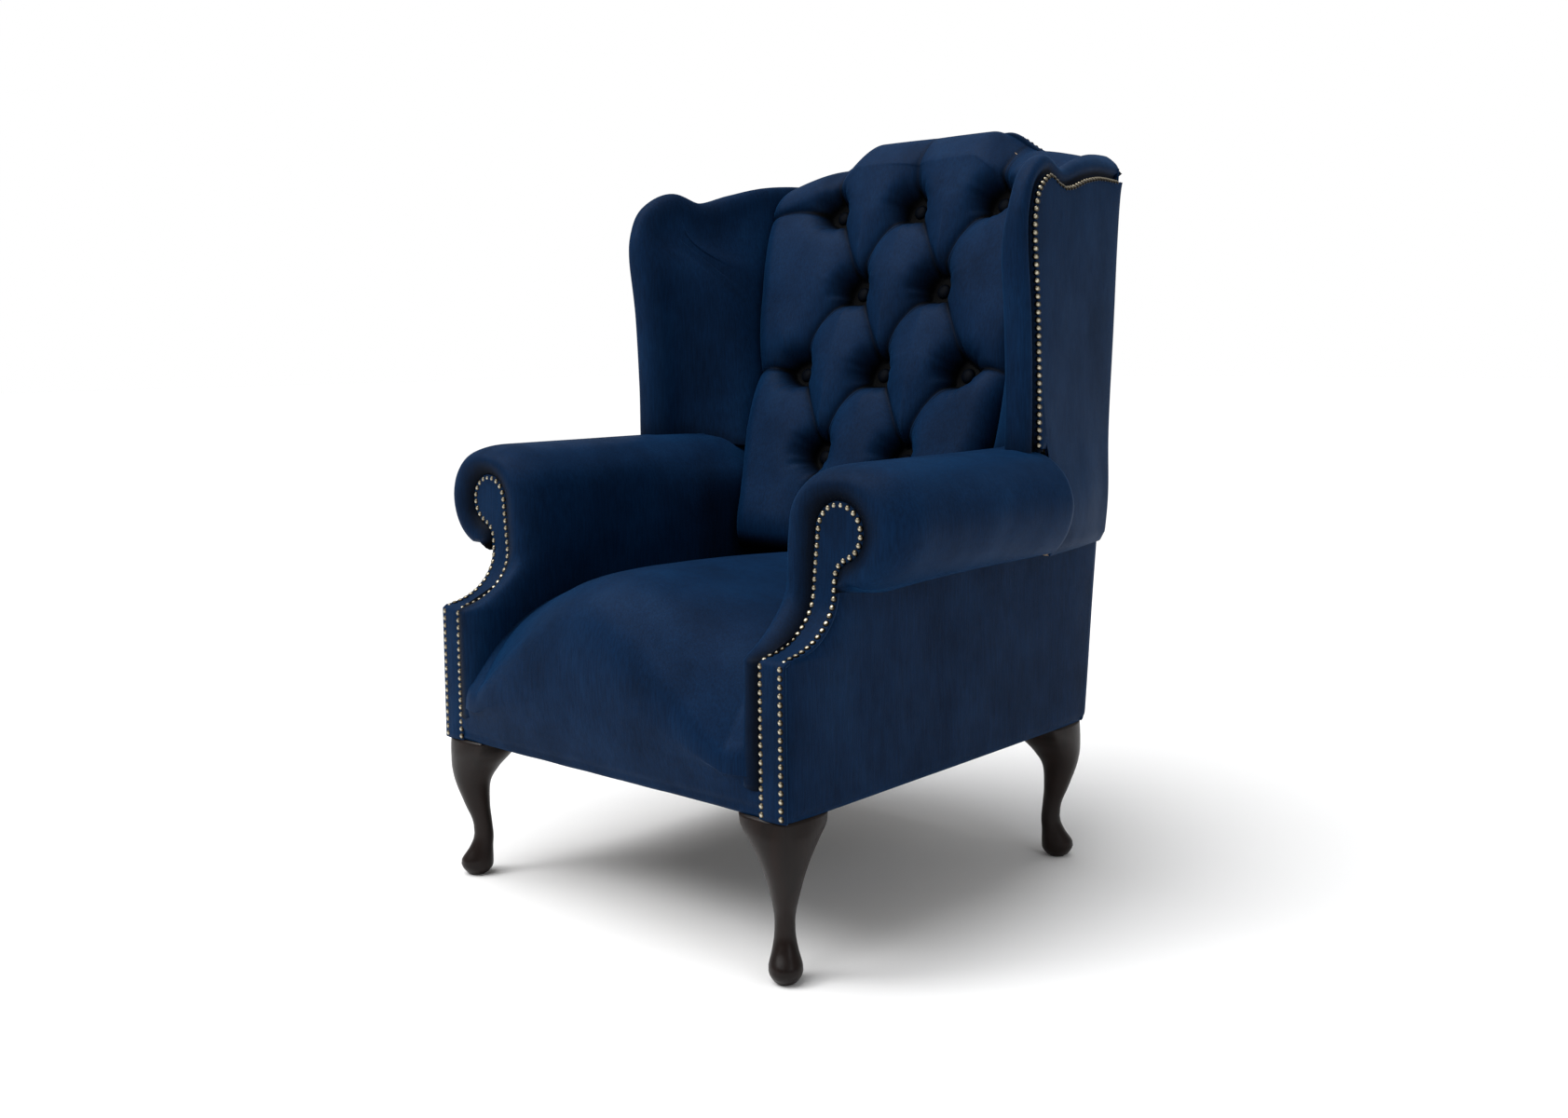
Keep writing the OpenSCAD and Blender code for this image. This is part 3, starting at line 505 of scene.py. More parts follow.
def insideBack():
    u = np.linspace(-1, 1, back["columns"])
    u = np.sign(u) * (1 - (1 - np.abs(u)) ** 1.12)       # a few more columns near the side seams
    crestEdge = crestZ(u * halfWidth)
    padEdge = crestZ(u * halfWidth, crest["halfPad"])
    turnZ = padEdge - back["roll"]
    v = np.linspace(0, 1, back["rows"])[:, None]
    z = back["low"] + (turnZ[None] - back["low"]) * v
    x = u[None] * backHalf(z)
    side = (1 - np.abs(u))[None] * backHalf(z)
    sideRound = roundOff(side, back["sideRound"])
    h = np.clip(puffHeight(x, z), 0.003, None) * (0.12 + 0.88 * sideRound)
    h *= 0.35 + 0.65 * roundOff(z - back["low"], 0.05)
    h += 0.0012 * ripple(x, z, 0 * z, 0.09, 3) * sideRound
    flat = np.stack([x, buttonY(z) + h * planeOut[0], z + h * planeOut[1]], -1)
    # over the crest: a cubic path from the button plane to the rear edge, with the padding square to it
    s = np.linspace(0, 1, back["rollRows"] + 1)[1:, None, None]
    start = np.stack([buttonY(turnZ), turnZ], -1)[None]
    end = np.stack([rearY(crestEdge) + 0.0005, crestEdge - 0.010], -1)[None]
    pullIn, pullOut = planeUp * 0.07, np.array([0.05, -0.035])
    base = hermite(start, pullIn, end, pullOut, s)
    step = 1e-3
    ahead = hermite(start, pullIn, end, pullOut, s + step) - hermite(start, pullIn, end, pullOut, s - step)
    ahead /= np.linalg.norm(ahead, axis=-1, keepdims=True)
    out = np.stack([-ahead[..., 1], ahead[..., 0]], -1)
    s = s[..., 0]
    far = turnZ[None] + s * 0.08
    xs = np.broadcast_to((u * backHalf(turnZ))[None] * (1 - s) + (u * halfWidth)[None] * s, far.shape)
    sideTop = (1 - np.abs(u))[None] * halfWidth + 0 * far
    thin = 1 - 0.996 * smoothStep(s) ** 0.9
    hs = np.clip(puffHeight(xs, far), 0.004, None) * thin
    hs *= 0.12 + 0.88 * roundOff(sideTop, back["sideRound"])
    over = np.stack([xs, base[..., 0] + hs * out[..., 0], base[..., 1] + hs * out[..., 1]], -1)
    # lifted where it has to be for its highest points to lie on the crest's line
    middle = np.concatenate([flat[-1:], over])
    lift = padEdge - middle[..., 2].max(0)
    along = np.linspace(0, 1, len(middle))
    ramp = (smoothStep(along * 1.6) * (1 - smoothStep((along - 0.75) / 0.25)))[:, None]
    over[..., 2] += (lift[None] * ramp)[1:]
    allX, allZ = np.concatenate([x, xs]), np.concatenate([z, far])
    # painted shade in the pits and along the pleats, at the side seams and along the foot of the back
    hollow = paintedFoldShade(allX, allZ) + 0.8 * np.exp(-np.concatenate([side, sideTop]) / 0.006)
    hollow += 0.9 * smoothStep((0.457 - allZ) / 0.02)
    return np.concatenate([flat, over]), hollow


backGrid, backPaintedShade = insideBack()
insideBackPiece = padPiece("insideBack", backGrid, [0, buttonY(0.78) + 0.03, 0.78], velvet, backPaintedShade)
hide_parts("back_pad")


def buttonPiece():
    # each button is a covered dome: a quarter ellipse turned about the plane's normal, sunk in its pit
    rings, around = 7, 20
    a = np.linspace(0, math.pi / 2, rings)[:, None]
    t = np.linspace(0, 2 * math.pi, around, endpoint=False)[None]
    r = back["buttonRadius"] * np.cos(a) ** 0.8
    local = np.stack([r * np.cos(t), r * np.sin(t), 0.0065 * np.sin(a) + 0 * t], -1)
    points, faces = [], []
    up = np.array([0, *planeUp])
    out = np.array([0, *planeOut])
    for bx, bz, k in buttons:
        centre = np.array([bx, buttonY(bz), bz]) + 0.003 * out
        placed = centre + local[..., :1] * [1, 0, 0] + local[..., 1:2] * up + local[..., 2:] * out
        start = len(points)
        points += placed.reshape(-1, 3).tolist()
        faces += [[start + i for i in f] for f in gridFaces(rings, around, loop=True)]
        faces.append([start + i for i in range(around - 1, -1, -1)])
    # the buttons take almost full painted shade, as they lie deep in their pits
    return makeMesh("backButtons", points, faces, velvet, hollow=np.full(len(points), 0.93))


buttonsPiece = buttonPiece()
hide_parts("back_buttons")
print("inside back buttoned")

seat = {
    "half": 0.245,           # half width where the seat meets the arms
    "frontHalf": 0.300,      # of the cover over the front rail
    "topHalf": 0.252,        # of the cover between the arms
    # from the hem up over the front rail and back to the buttoned back
    "profile": [(0.002, 0.206), (-0.006, 0.225), (-0.016, 0.27), (-0.022, 0.33), (-0.020, 0.385),
                (-0.008, 0.425), (0.014, 0.450), (0.050, 0.463), (0.110, 0.4655), (0.200, 0.464),
                (0.300, 0.460), (0.442, 0.453), (0.520, 0.445), (0.560, 0.430)],
    "sideDrop": 0.165,       # share of its height that the dome loses at the sides
    "cornerDrop": 0.475,     # and more at the front corners
    "cornerRun": 0.085,      # how far back that goes
    "soft": 0.045,
    "spread": 0.72,
    "tuck": 0.004,
}


def seatGrid():
    # a front-to-back line carried across; its height over the rail falls as a power of the distance
    # from the middle, by a share that fades from the front corners as an exponential
    line = through(seat["profile"], 170)
    y, z = line[:, 0][:, None], line[:, 1][:, None]
    a = np.linspace(-1, 1, 190)[None]
    top = smoothStep((y - 0.022) / 0.075) + 0 * a
    x = a * (seat["frontHalf"] * (1 - top) + seat["topHalf"] * top)
    soft, spread = seat["soft"], seat["spread"]
    bend = (x**2 + soft**2) ** spread - soft ** (2 * spread)
    bend /= (seat["half"] ** 2 + soft**2) ** spread - soft ** (2 * spread)
    drop = seat["sideDrop"] + seat["cornerDrop"] * np.exp(-np.clip(y, 0, None) / seat["cornerRun"])
    full = smoothStep((z - legTop) / 0.14)
    keep = 1 - drop * np.clip(bend, 0, 0.97) * full
    zz = legTop + (z - legTop) * keep
    front = np.clip(-y, 0, None)
    yy = y + front * np.abs(a) ** 5
    # the front's sides turn in behind the arms' noses
    tuck = smoothStep((np.abs(x) - 0.255) / 0.030) * smoothStep((zz - 0.235) / 0.03)
    yy = yy + seat["tuck"] * tuck * smoothStep(1 - y / 0.06)
    hem = 0.0035 * np.exp(-((zz - 0.2165) / 0.0025) ** 2) * smoothStep(1 - y / 0.02)
    swell = ripple(x, yy, zz, 0.24, 11) * 0.0022 + ripple(x, yy, zz, 0.07, 12) * 0.0007
    swell *= 1 - np.abs(a) ** 4
    # painted shade along the sides where the seat meets the arms, and at the rear by the back
    edge = 0.232 + 0.040 * (1 - smoothStep(y / 0.06))
    hollow = 0.8 * smoothStep((np.abs(x) - edge) / 0.022) * smoothStep((zz - 0.235) / 0.02)
    hollow = hollow + 0.9 * smoothStep((y - 0.476) / 0.03)
    return np.stack([x, yy - 0.4 * swell + hem, zz + swell], -1), hollow


seatSurface, seatPaintedShade = seatGrid()
seatPiece = padPiece("seatCover", seatSurface, [0, 0.25, 0.32], velvet, seatPaintedShade)
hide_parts("seat_cover")
print("seat covered")

arm = {
    "rowOut": halfWidth - 0.007,      # the outer row of nails
    "facing": 0.031,                  # from one row to the other
    "shoulder": 0.397,                # height where the post's front turns into the sweep
    "set": 0.094,                     # how far behind the seat's front the scroll stands
    "under": armTop - 0.150,          # the seam under the roll
    "headRadius": 0.033,
    "hollowRadius": 0.030,
    "rollRear": 0.500,
    "noseEnd": 0.150,                 # depth at which the nose has become the straight roll
    "rear": 0.615,
    "innerLow": 0.240,                # lower edge of the inner face at the front
    "innerRise": 0.080,               # and how much higher it is behind
    "innerLean": 0.030,               # how far the inner face leans outwards at the back
    "swell": 2.4,                     # pull of the nose outwards from the nails, by the gap it bridges
    "forward": 0.105,                 # and forwards
    "lap": 0.0045,                    # of the facing past its nails
}
rowIn = arm["rowOut"] - arm["facing"]
headX, headZ = rowIn + 0.011 + arm["headRadius"], arm["under"] + 0.071
hollowX = arm["rowOut"] + 0.005 + arm["hollowRadius"]
hollowZ = headZ - math.sqrt((arm["headRadius"] + arm["hollowRadius"]) ** 2 - (hollowX - headX) ** 2)
joinAngle = math.atan2(hollowZ - headZ, hollowX - headX)


def sweepLine(t):
    # quarter ellipse from the shoulder, back and up to the scroll
    return arm["set"] * np.sin(t), arm["under"] - (arm["under"] - arm["shoulder"]) * np.cos(t)


def facingRow(x0, x1):
    # up a row of nails along the sweep, with x easing from x0 to x1
    t = np.linspace(0, math.pi / 2, 24)
    y, z = sweepLine(t)
    return np.c_[x0 + (x1 - x0) * t / (math.pi / 2), y, z]


def scrollLine(grow, count=60):
    # round the scroll from its inner side over the head and down the hollow, grown by a lap
    a = np.linspace(math.pi, joinAngle, count)
    radius = arm["headRadius"] + grow
    head = np.c_[headX + radius * np.cos(a), 0 * a + arm["set"], headZ + radius * np.sin(a)]
    b = np.linspace(math.pi + joinAngle, math.pi, count // 3)[1:]
    radius = arm["hollowRadius"] - grow
    hollow = np.c_[hollowX + radius * np.cos(b), 0 * b + arm["set"], hollowZ + radius * np.sin(b)]
    return head, hollow


def armSection(y, count):
    # across the arm: up the inner face, over the padded roll and round to the seam under it
    radius = (armTop - arm["under"]) / 2
    centreZ = arm["under"] + radius
    out = armOut - 0.085 * smoothStep((y - 0.455) / 0.05) ** 1.5 - 0.5 * max(y - 0.505, 0)
    low = arm["innerLow"] + arm["innerRise"] * smoothStep((y - 0.10) / 0.08)
    lean = arm["innerLean"] * smoothStep((y - 0.30) / 0.25)
    inner = [(armIn + 0.004 - lean * 0.8, low), (armIn - 0.001 - lean, (low + 0.47) / 2),
             (armIn - 0.004 - lean, 0.475), (armIn - lean, 0.545)]
    inCentre = armIn + radius - lean * 0.5
    angles = np.radians([150, 120, 96])
    inner += [(inCentre + radius * math.cos(a), centreZ + radius * math.sin(a)) for a in angles]
    flat = [((armIn + out) / 2, armTop + 0.0005)]
    outRadius = min(radius, (out - armIn) / 2)
    angles = np.radians([84, 56, 28, 0, -30, -58])
    outer = [(out - outRadius + outRadius * math.cos(a), centreZ + radius * math.sin(a)) for a in angles]
    under = 0.4635 + 0.022 * smoothStep((y - 0.10) / 0.35)
    outer += [(halfWidth + 0.028, under), (halfWidth + 0.002, under + 0.002)]
    return through(inner + flat + outer, count)


def runShares(line, marks):
    # the share of a line's run at which it comes nearest to each mark
    run = np.r_[0, np.cumsum(np.linalg.norm(np.diff(line, axis=0), axis=1))]
    return [run[np.argmin(np.linalg.norm(line - mark, axis=1))] / run[-1] for mark in marks]


def armGrid():
    # a nose that turns back from the line of nails, and the straight roll behind it
    count = 150
    noseRows, bodyRows = 34, 90
    head, hollow = scrollLine(0.004)
    straight = np.c_[np.full(8, rowIn), np.zeros(8), np.linspace(0.238, arm["shoulder"] - 0.004, 8)]
    cove = facingRow(rowIn, rowIn + 0.004)
    side = [[rowIn + 0.005, arm["set"], arm["under"] + 0.035]]
    seam = [[halfWidth + 0.004, arm["set"] + 0.004, 0.468]]
    front = evenly(np.vstack([straight, cove[1:], side, head, hollow, seam]), 900)
    bodyStart = arm["noseEnd"]
    first = armSection(bodyStart, count)
    # both lines pass the same landmarks: the seam, the shoulder of the roll, its top and its far side
    frontMarks = [(rowIn + 0.003, arm["set"], arm["under"]), (headX - 0.037, arm["set"], headZ),
                  (headX, arm["set"], headZ + 0.037), (headX + 0.037, arm["set"], headZ)]
    bodyMarks = [(armIn - 0.004, 0.478), (armIn + 0.002, 0.555), ((armIn + armOut) / 2, armTop),
                 (armOut, armTop - 0.075)]
    frontStops = [0, *runShares(front, np.array(frontMarks)), 1]
    bodyStops = [0, *runShares(first, np.array(bodyMarks)), 1]
    matched = np.interp(np.linspace(0, 1, count), bodyStops, frontStops)
    frontRun = np.linspace(0, 1, len(front))
    start = np.stack([np.interp(matched, frontRun, front[:, k]) for k in range(3)], 1)
    first3 = np.c_[first[:, 0], np.full(count, bodyStart), first[:, 1]]
    # the nose swells outwards from the nails, square to the scroll's line, before it turns back along the arm
    along = np.gradient(start, axis=0)
    away = first3 - start
    away[:, 1] = 0
    away -= along * (away * along).sum(1, keepdims=True) / np.maximum((along**2).sum(1, keepdims=True), 1e-9)
    size = np.linalg.norm(first3[:, [0, 2]] - start[:, [0, 2]], axis=1, keepdims=True)
    away /= np.maximum(np.linalg.norm(away, axis=1, keepdims=True), 1e-9)
    startPull = away * (arm["swell"] * size + 0.014) + np.array([0, -arm["forward"], 0])
    endPull = np.array([0, 1.0, 0]) * (1.1 * (bodyStart - start[:, 1:2]) + 0.03)
    s = np.linspace(0, 1, noseRows)[:, None, None] ** 0.85
    nose = hermite(start[None], startPull[None], first3[None], endPull[None], s)
    sections = [(y, armSection(y, count)) for y in np.linspace(bodyStart, arm["rear"], bodyRows)[1:]]
    body = np.stack([np.c_[line[:, 0], np.full(count, y), line[:, 1]] for y, line in sections])
    grid = np.concatenate([nose, body])
    swell = 0.0018 * ripple(grid[..., 0], grid[..., 1], grid[..., 2], 0.16, 21)
    swell += 0.0006 * ripple(grid[..., 0], grid[..., 1], grid[..., 2], 0.055, 22)
    grid[..., 0] += swell * smoothStep((grid[..., 1] - 0.10) / 0.06)
    # painted shade in the valley beside the facing's nails, along the seam under the roll, and low on the
    # inner face at the rear
    run = np.cumsum(np.linalg.norm(np.diff(grid, axis=0, prepend=grid[:1]), axis=2), axis=0)
    hollow = 0.88 * np.exp(-(run / 0.022) ** 2.2)
    hollow += 0.7 * np.exp(-((np.arange(count)[None] - count + 1) / 3.0) ** 2) + 0 * run
    rear = smoothStep((grid[..., 1] - 0.40) / 0.05) * smoothStep((0.60 - grid[..., 2]) / 0.1)
    return grid, np.clip(hollow + 0.5 * rear * (grid[..., 0] < 0.29), 0, 1)


armSurface, armPaintedShade = armGrid()
for side in sides:
    heart = [sides[side] * 0.31, 0.34, 0.53]
    piece = padPiece("insideArm_" + side, onSide(armSurface, side), heart, velvet, armPaintedShade)
    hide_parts("arm_pad_" + side)


def facingGrid():
    # a strip between the two rows of nails, closed over the scroll's head
    lap, count = arm["lap"], 30
    low = np.linspace(legTop, arm["shoulder"] - 0.004, count)
    inLow = np.c_[np.full(count, rowIn - lap), 0 * low, low]
    outLow = np.c_[np.full(count, halfWidth), 0 * low, low]
    inCove = facingRow(rowIn - lap, rowIn + 0.004 - lap)[1:]
    outCove = facingRow(halfWidth, arm["rowOut"] + 0.005 + lap)[1:]
    grow = 0.0048
    radius = arm["headRadius"] + grow
    head, hollow = scrollLine(grow, 90)
    # both edges of the scroll, read off at the same heights
    quarter = np.linspace(0, math.pi / 2, 22)[1:]
    z = np.r_[np.linspace(arm["under"], headZ, 22)[1:], headZ + radius * np.sin(quarter)]
    halfChord = np.sqrt(np.clip(radius**2 - (z - headZ) ** 2, 0, None))
    ease = smoothStep((z - headZ + 0.03) / 0.03)
    neckX = (rowIn + 0.004 - lap) * (1 - ease) + (headX - radius) * ease
    leftX = np.where(z < headZ, neckX, headX - halfChord)
    right = np.vstack([hollow, head[head[:, 0] > headX]])
    right = right[np.argsort(right[:, 2])]
    rightX = np.where(z > headZ, headX + halfChord, np.interp(z, right[:, 2], right[:, 0]))
    inTop = np.c_[leftX, np.full(len(z), arm["set"]), z]
    outTop = np.c_[rightX, np.full(len(z), arm["set"]), z]
    inner = np.vstack([inLow, inCove, inTop])
    outer = np.vstack([outLow, outCove, outTop])
    a = np.linspace(0, 1, 15)[None, :, None]
    grid = inner[:, None] * (1 - a) + outer[:, None] * a
    grid[..., 1] -= 0.0025 * (1 - (2 * a[..., 0] - 1) ** 2)
    return grid


for side in sides:
    piece = panelPiece("armFacing_" + side, onSide(facingGrid(), side), 0.0045, [0, -1, 0.3], velvet)
    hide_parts("arm_facing_" + side)


def outsideArmGrid():
    # the side panel between the front sweep, the seam under the roll and the outside back's edge
    rows, columns = 60, 90
    low = np.linspace(legTop, arm["shoulder"], 34)
    sweep = np.c_[sweepLine(np.linspace(0, math.pi / 2, 26))]
    frontEdge = np.vstack([np.c_[0 * low, low], sweep[1:], [[arm["set"] + 0.002, arm["under"] + 0.012]]])
    frontEdge = evenly(frontEdge, rows)
    top = panelLow + 0.012
    rear = np.c_[rearY(np.linspace(legTop, top, rows)), np.linspace(legTop, top, rows)]
    a = np.linspace(0, 1, columns)[None, :, None]
    yz = frontEdge[:, None] * (1 - a) + rear[:, None] * a
    edge = np.minimum(a[..., 0], 1 - a[..., 0]) * 0.6
    x = halfWidth + 0.0045 * (1 - np.exp(-(edge / 0.03) ** 1.2)) - 0.004 * np.exp(-a[..., 0] * 0.6 / 0.004)
    hem = smoothStep((yz[..., 1] - legTop) / 0.012)
    x = x - 0.003 * (1 - hem) + 0.0008 * ripple(yz[..., 0], yz[..., 1], 0, 0.2, 31)
    return np.stack([x + 0 * yz[..., 0], yz[..., 0], yz[..., 1]], -1)


for side in sides:
    grid = onSide(outsideArmGrid(), side)
    piece = panelPiece("outsideArm_" + side, grid, 0.004, [sides[side], 0, 0], velvet)
    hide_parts("outside_arm_" + side)
print("arms covered")

wing = {
    "front": 0.436, "top": 1.008, "splay": math.radians(9.5), "foot": armTop + 0.001,
    "seamLow": 0.598, "seamHigh": 1.018,      # of the seam beside the buttoned back
    "nailInset": 0.0190,
}
wingRise = wing["top"] - wing["foot"]
front, foot, top = wing["front"], wing["foot"], wing["top"]
# up the front edge, round the lobe and back along the top
wingEdge = through([
    (front + 0.006, foot), (front + 0.006, foot + 0.22 * wingRise), (front + 0.001, foot + 0.5 * wingRise),
    (front - 0.009, foot + 0.73 * wingRise), (front - 0.004, top - 0.058), (front + 0.016, top - 0.022),
    (front + 0.062, top), (front + 0.116, top - 0.013), (front + 0.180, top + 0.002),
    (front + 0.240, top + 0.011), (rearY(top) - 0.004, top + 0.012)], 150)


def splayX(y):
    # the outer face of a wing runs outwards as it comes forwards
    return halfWidth + (rearY(wing["top"]) - y) * math.tan(wing["splay"])


edgeDirection = np.gradient(wingEdge, axis=0)
edgeDirection /= np.linalg.norm(edgeDirection, axis=1, keepdims=True)
edgeOut = np.c_[-edgeDirection[:, 1], edgeDirection[:, 0]]
# across the edge from the nails inwards: how far out of the edge, and how far in from the outer face
edgeRoll = through([
    (-0.0205, 0.0005), (-0.0190, 0.0040), (-0.0160, 0.0080), (-0.0110, 0.0085), (-0.0050, 0.0045),
    (0.0005, 0.0042), (0.0060, 0.0090), (0.0088, 0.017), (0.0092, 0.027), (0.0072, 0.037),
    (0.0005, 0.0450), (-0.0110, 0.050), (-0.026, 0.052)], 46)


def wingPadGrid():
    # the rolled edge first: q is how far it stands out of the edge, m how far in from the outer face
    t = np.linspace(0, 1, len(wingEdge))
    q = edgeRoll[:, 0]
    m = edgeRoll[:, 1][None] * (1 - 0.30 * smoothStep((wingEdge[:, 1] - 0.86) / 0.12)[:, None])
    y = wingEdge[:, :1] + edgeOut[:, :1] * q[None]
    z = wingEdge[:, 1:] + edgeOut[:, 1:] * q[None]
    z += 0.024 * smoothStep((t - 0.72) / 0.28)[:, None] * smoothStep(m / 0.045)
    z -= 0.02 * (1 - smoothStep(t / 0.02)[:, None])
    roll = np.stack([splayX(y) - m, y, z], -1)
    # the inside face runs from the roll back to the seam beside the buttoned back
    seamZ = wing["seamLow"] + (wing["seamHigh"] - wing["seamLow"]) * t
    seam = np.c_[backHalf(seamZ) - 0.006, buttonY(seamZ) - 0.006, seamZ]
    s = np.linspace(0, 1, 46)[1:][None, :, None]
    startPull = roll[:, -1] - roll[:, -2]
    startPull /= np.linalg.norm(startPull, axis=1, keepdims=True)
    reach = np.linalg.norm(seam - roll[:, -1], axis=1, keepdims=True)
    chord = (seam - roll[:, -1]) / reach
    endPull = chord * 0.9 + np.array([0.25, 0.25, 0])
    face = hermite(roll[:, -1:], (startPull * reach)[:, None], seam[:, None], (endPull * reach)[:, None], s)
    grid = np.concatenate([roll, face], 1)
    grid[..., 0] += 0.0015 * ripple(grid[..., 0], grid[..., 1], grid[..., 2], 0.2, 41)
    # painted shade in the valley inside the nail line, beside the seam by the buttoned back, and at the
    # wing's foot
    valley = 0.85 * np.exp(-((q + 0.0135) / 0.0055) ** 2) * (edgeRoll[:, 1] < 0.02)
    paintedSeamShade = 0.9 * np.exp(-(1 - s[0, :, 0]) / 0.04)
    deep = np.r_[valley, paintedSeamShade][None] + 0.8 * np.exp(-t / 0.02)[:, None]
    return grid, deep


wingSurface, wingPaintedShade = wingPadGrid()
for side in sides:
    heart = [sides[side] * 0.345, 0.60, 0.80]
    piece = padPiece("wingPad_" + side, onSide(wingSurface, side), heart, velvet, wingPaintedShade)
    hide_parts("wing_pad_" + side)


def outsideWingGrid():
    # ruled from the nail line to the panel's lower and rear edges, swelling out over the arm's rear end
    nailLine = wingEdge - wing["nailInset"] * edgeOut
    nailLine[:, 1] = np.maximum(nailLine[:, 1], wing["foot"])
    behindRoll = arm["rollRear"] + 0.001
    border = [nailLine[0], (behindRoll, wing["foot"]), (behindRoll, panelLow),
              (rearY(panelLow) - 0.001, panelLow), (rearY(wing["top"]) - 0.001, nailLine[-1, 1] - 0.001)]
    border = evenly(np.array(border), len(wingEdge))
    a = np.linspace(0, 1, 60)[None, :, None]
    yz = nailLine[:, None] * (1 - a) + border[:, None] * a
    y, z = yz[..., 0], yz[..., 1]
    inward = np.sin(math.pi * a[..., 0]) ** 0.6
    overArm = np.exp(-((z - 0.535) / 0.065) ** 2) * smoothStep((y - 0.44) / 0.06)
    overArm *= 1 - 0.6 * smoothStep((y - 0.60) / 0.1)
    tuck = smoothStep((z - panelLow) / 0.016)
    x = splayX(y) + 0.0035 * inward + 0.012 * overArm - 0.006 * (1 - tuck) + 0.001 * ripple(y, z, 0, 0.22, 51)
    return np.stack([x, y, z], -1)


for side in sides:
    grid = onSide(outsideWingGrid(), side)
    piece = panelPiece("outsideWing_" + side, grid, 0.004, [sides[side], 0, 0], velvet)
    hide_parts("outside_wing_" + side)
print("wings covered")


def outsideBackGrid():
    # a taut sheet on the leaning rear of the frame, up to the crest's line
    u = np.linspace(-1, 1, 110)[None]
    v = np.linspace(0, 1, 130)[:, None]
    topZ = crestZ(u * halfWidth) - 0.003
    z = legTop + (topZ - legTop) * v
    splayed = (wing["top"] - z) * rearLean * math.tan(wing["splay"])
    x = u * (halfWidth + np.where(z > panelLow, splayed, 0) * smoothStep((z - panelLow) / 0.01))
    edge = np.minimum((1 - np.abs(u)) * halfWidth, (1 - v) * 0.9)
    edge = np.minimum(edge, v * 0.9)
    puff = 0.004 * (1 - np.exp(-(edge / 0.03) ** 1.2)) - 0.005 * np.exp(-edge / 0.003)
    y = rearY(z) - 0.002 + puff + 0.0008 * ripple(x, z, 0, 0.25, 61)
    return np.stack([x, y, z], -1)


outsideBackPiece = panelPiece("outsideBack", outsideBackGrid(), 0.0035, [0, 1, 0], velvet)
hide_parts("outside_back")
print("outside back covered")


nail = {
    "radius": 0.0046, "height": 0.0029, "around": 10,
    "rings": [(0, 1.0), (0.35, 0.8), (0.85, 0.35), (1.25, 0.1)],      # angle up the dome, and the painted shade there, 0 being the painted highlight
}


def nailHeads(node):
    # middle and axis of each of the frame's nail heads, found from that head's own points
    mesh = frame["nodes"][node].data
    points = np.zeros(len(mesh.vertices) * 3)
    mesh.vertices.foreach_get("co", points)
    edges = np.zeros(len(mesh.edges) * 2, np.int32)
    mesh.edges.foreach_get("vertices", edges)
    points, same = np.unique(np.round(points.reshape(-1, 3), 5), axis=0, return_inverse=True)
    first, second = same.ravel()[edges.reshape(-1, 2)].T
    # points joined by edges come to share the lowest number among them, which is then their head's
    label = np.arange(len(points))
    for turn in range(30):
        lowest = np.minimum(label[first], label[second])
        np.minimum.at(label, first, lowest)
        np.minimum.at(label, second, lowest)
    head = np.unique(label, return_inverse=True)[1].ravel()
    total = np.bincount(head)
    middle = np.stack([np.bincount(head, points[:, k]) / total for k in range(3)], 1)
    # a head is flattest along its axis, which points to its narrower end
    offset = points - middle[head]
    spread = np.stack([np.bincount(head, offset[:, j] * offset[:, k]) for j in range(3) for k in range(3)], 1)
    axis = np.linalg.eigh(spread.reshape(-1, 3, 3))[1][:, :, 0]
    height = (offset * axis[head]).sum(1)
    lean = np.bincount(head, height * np.linalg.norm(offset - height[:, None] * axis[head], axis=1))
    return middle, np.where(lean[:, None] > 0, -axis, axis)


def nailPiece(name, node):
    # a low dome on each of the frame's nail heads
    middle, axis = nailHeads(node)
    other = np.cross(axis, np.where(np.abs(axis[:, :1]) < 0.9, [[1.0, 0, 0]], [[0, 0, 1.0]]))
    other /= np.linalg.norm(other, axis=1, keepdims=True)
    third = np.cross(axis, other)
    angles, paintedShading = np.array(nail["rings"]).T
    around = nail["around"]
    t = np.arange(around) * 2 * math.pi / around
    ring = nail["radius"] * np.cos(angles)
    rise = nail["height"] * np.sin(angles) / math.sin(angles[-1])
    local = np.stack([ring[:, None] * np.cos(t), ring[:, None] * np.sin(t), rise[:, None] + 0 * t], -1)
    local = np.vstack([local.reshape(-1, 3), [0, 0, nail["height"] * 1.04]])
    base = middle - axis * 0.0012
    placed = (base[:, None] + local[None, :, :1] * other[:, None] + local[None, :, 1:2] * third[:, None]
              + local[None, :, 2:] * axis[:, None])
    size = len(local)
    last = (len(angles) - 1) * around + np.arange(around)
    tip = np.c_[last, np.roll(last, -1), np.full(around, size - 1)]
    first = np.arange(len(middle))[:, None, None] * size
    faces = []
    for part in (np.array(gridFaces(len(angles), around, loop=True)), tip, np.arange(around)[None, ::-1]):
        faces += (part[None] + first).reshape(-1, part.shape[1]).tolist()
    piece = makeMesh(name, placed.reshape(-1, 3) - [0, frontY, 0], faces, antiqueNail, closed=False)
    # painted highlight at the tip, painted shade out to the rim
    rim = np.r_[np.repeat(paintedShading, around), 0.0]
    attribute = piece.data.attributes.new("rim", "FLOAT", "POINT")
    attribute.data.foreach_set("value", np.tile(rim, len(middle)).astype(np.float32))
    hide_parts(node)


for side in sides:
    nailPiece("facingNails_" + side, "facing_nails_" + side)
for side in sides:
    nailPiece("wingNails_" + side, "wing_nails_" + side)
nailPiece("backNails", "back_nails")
print("nails driven")

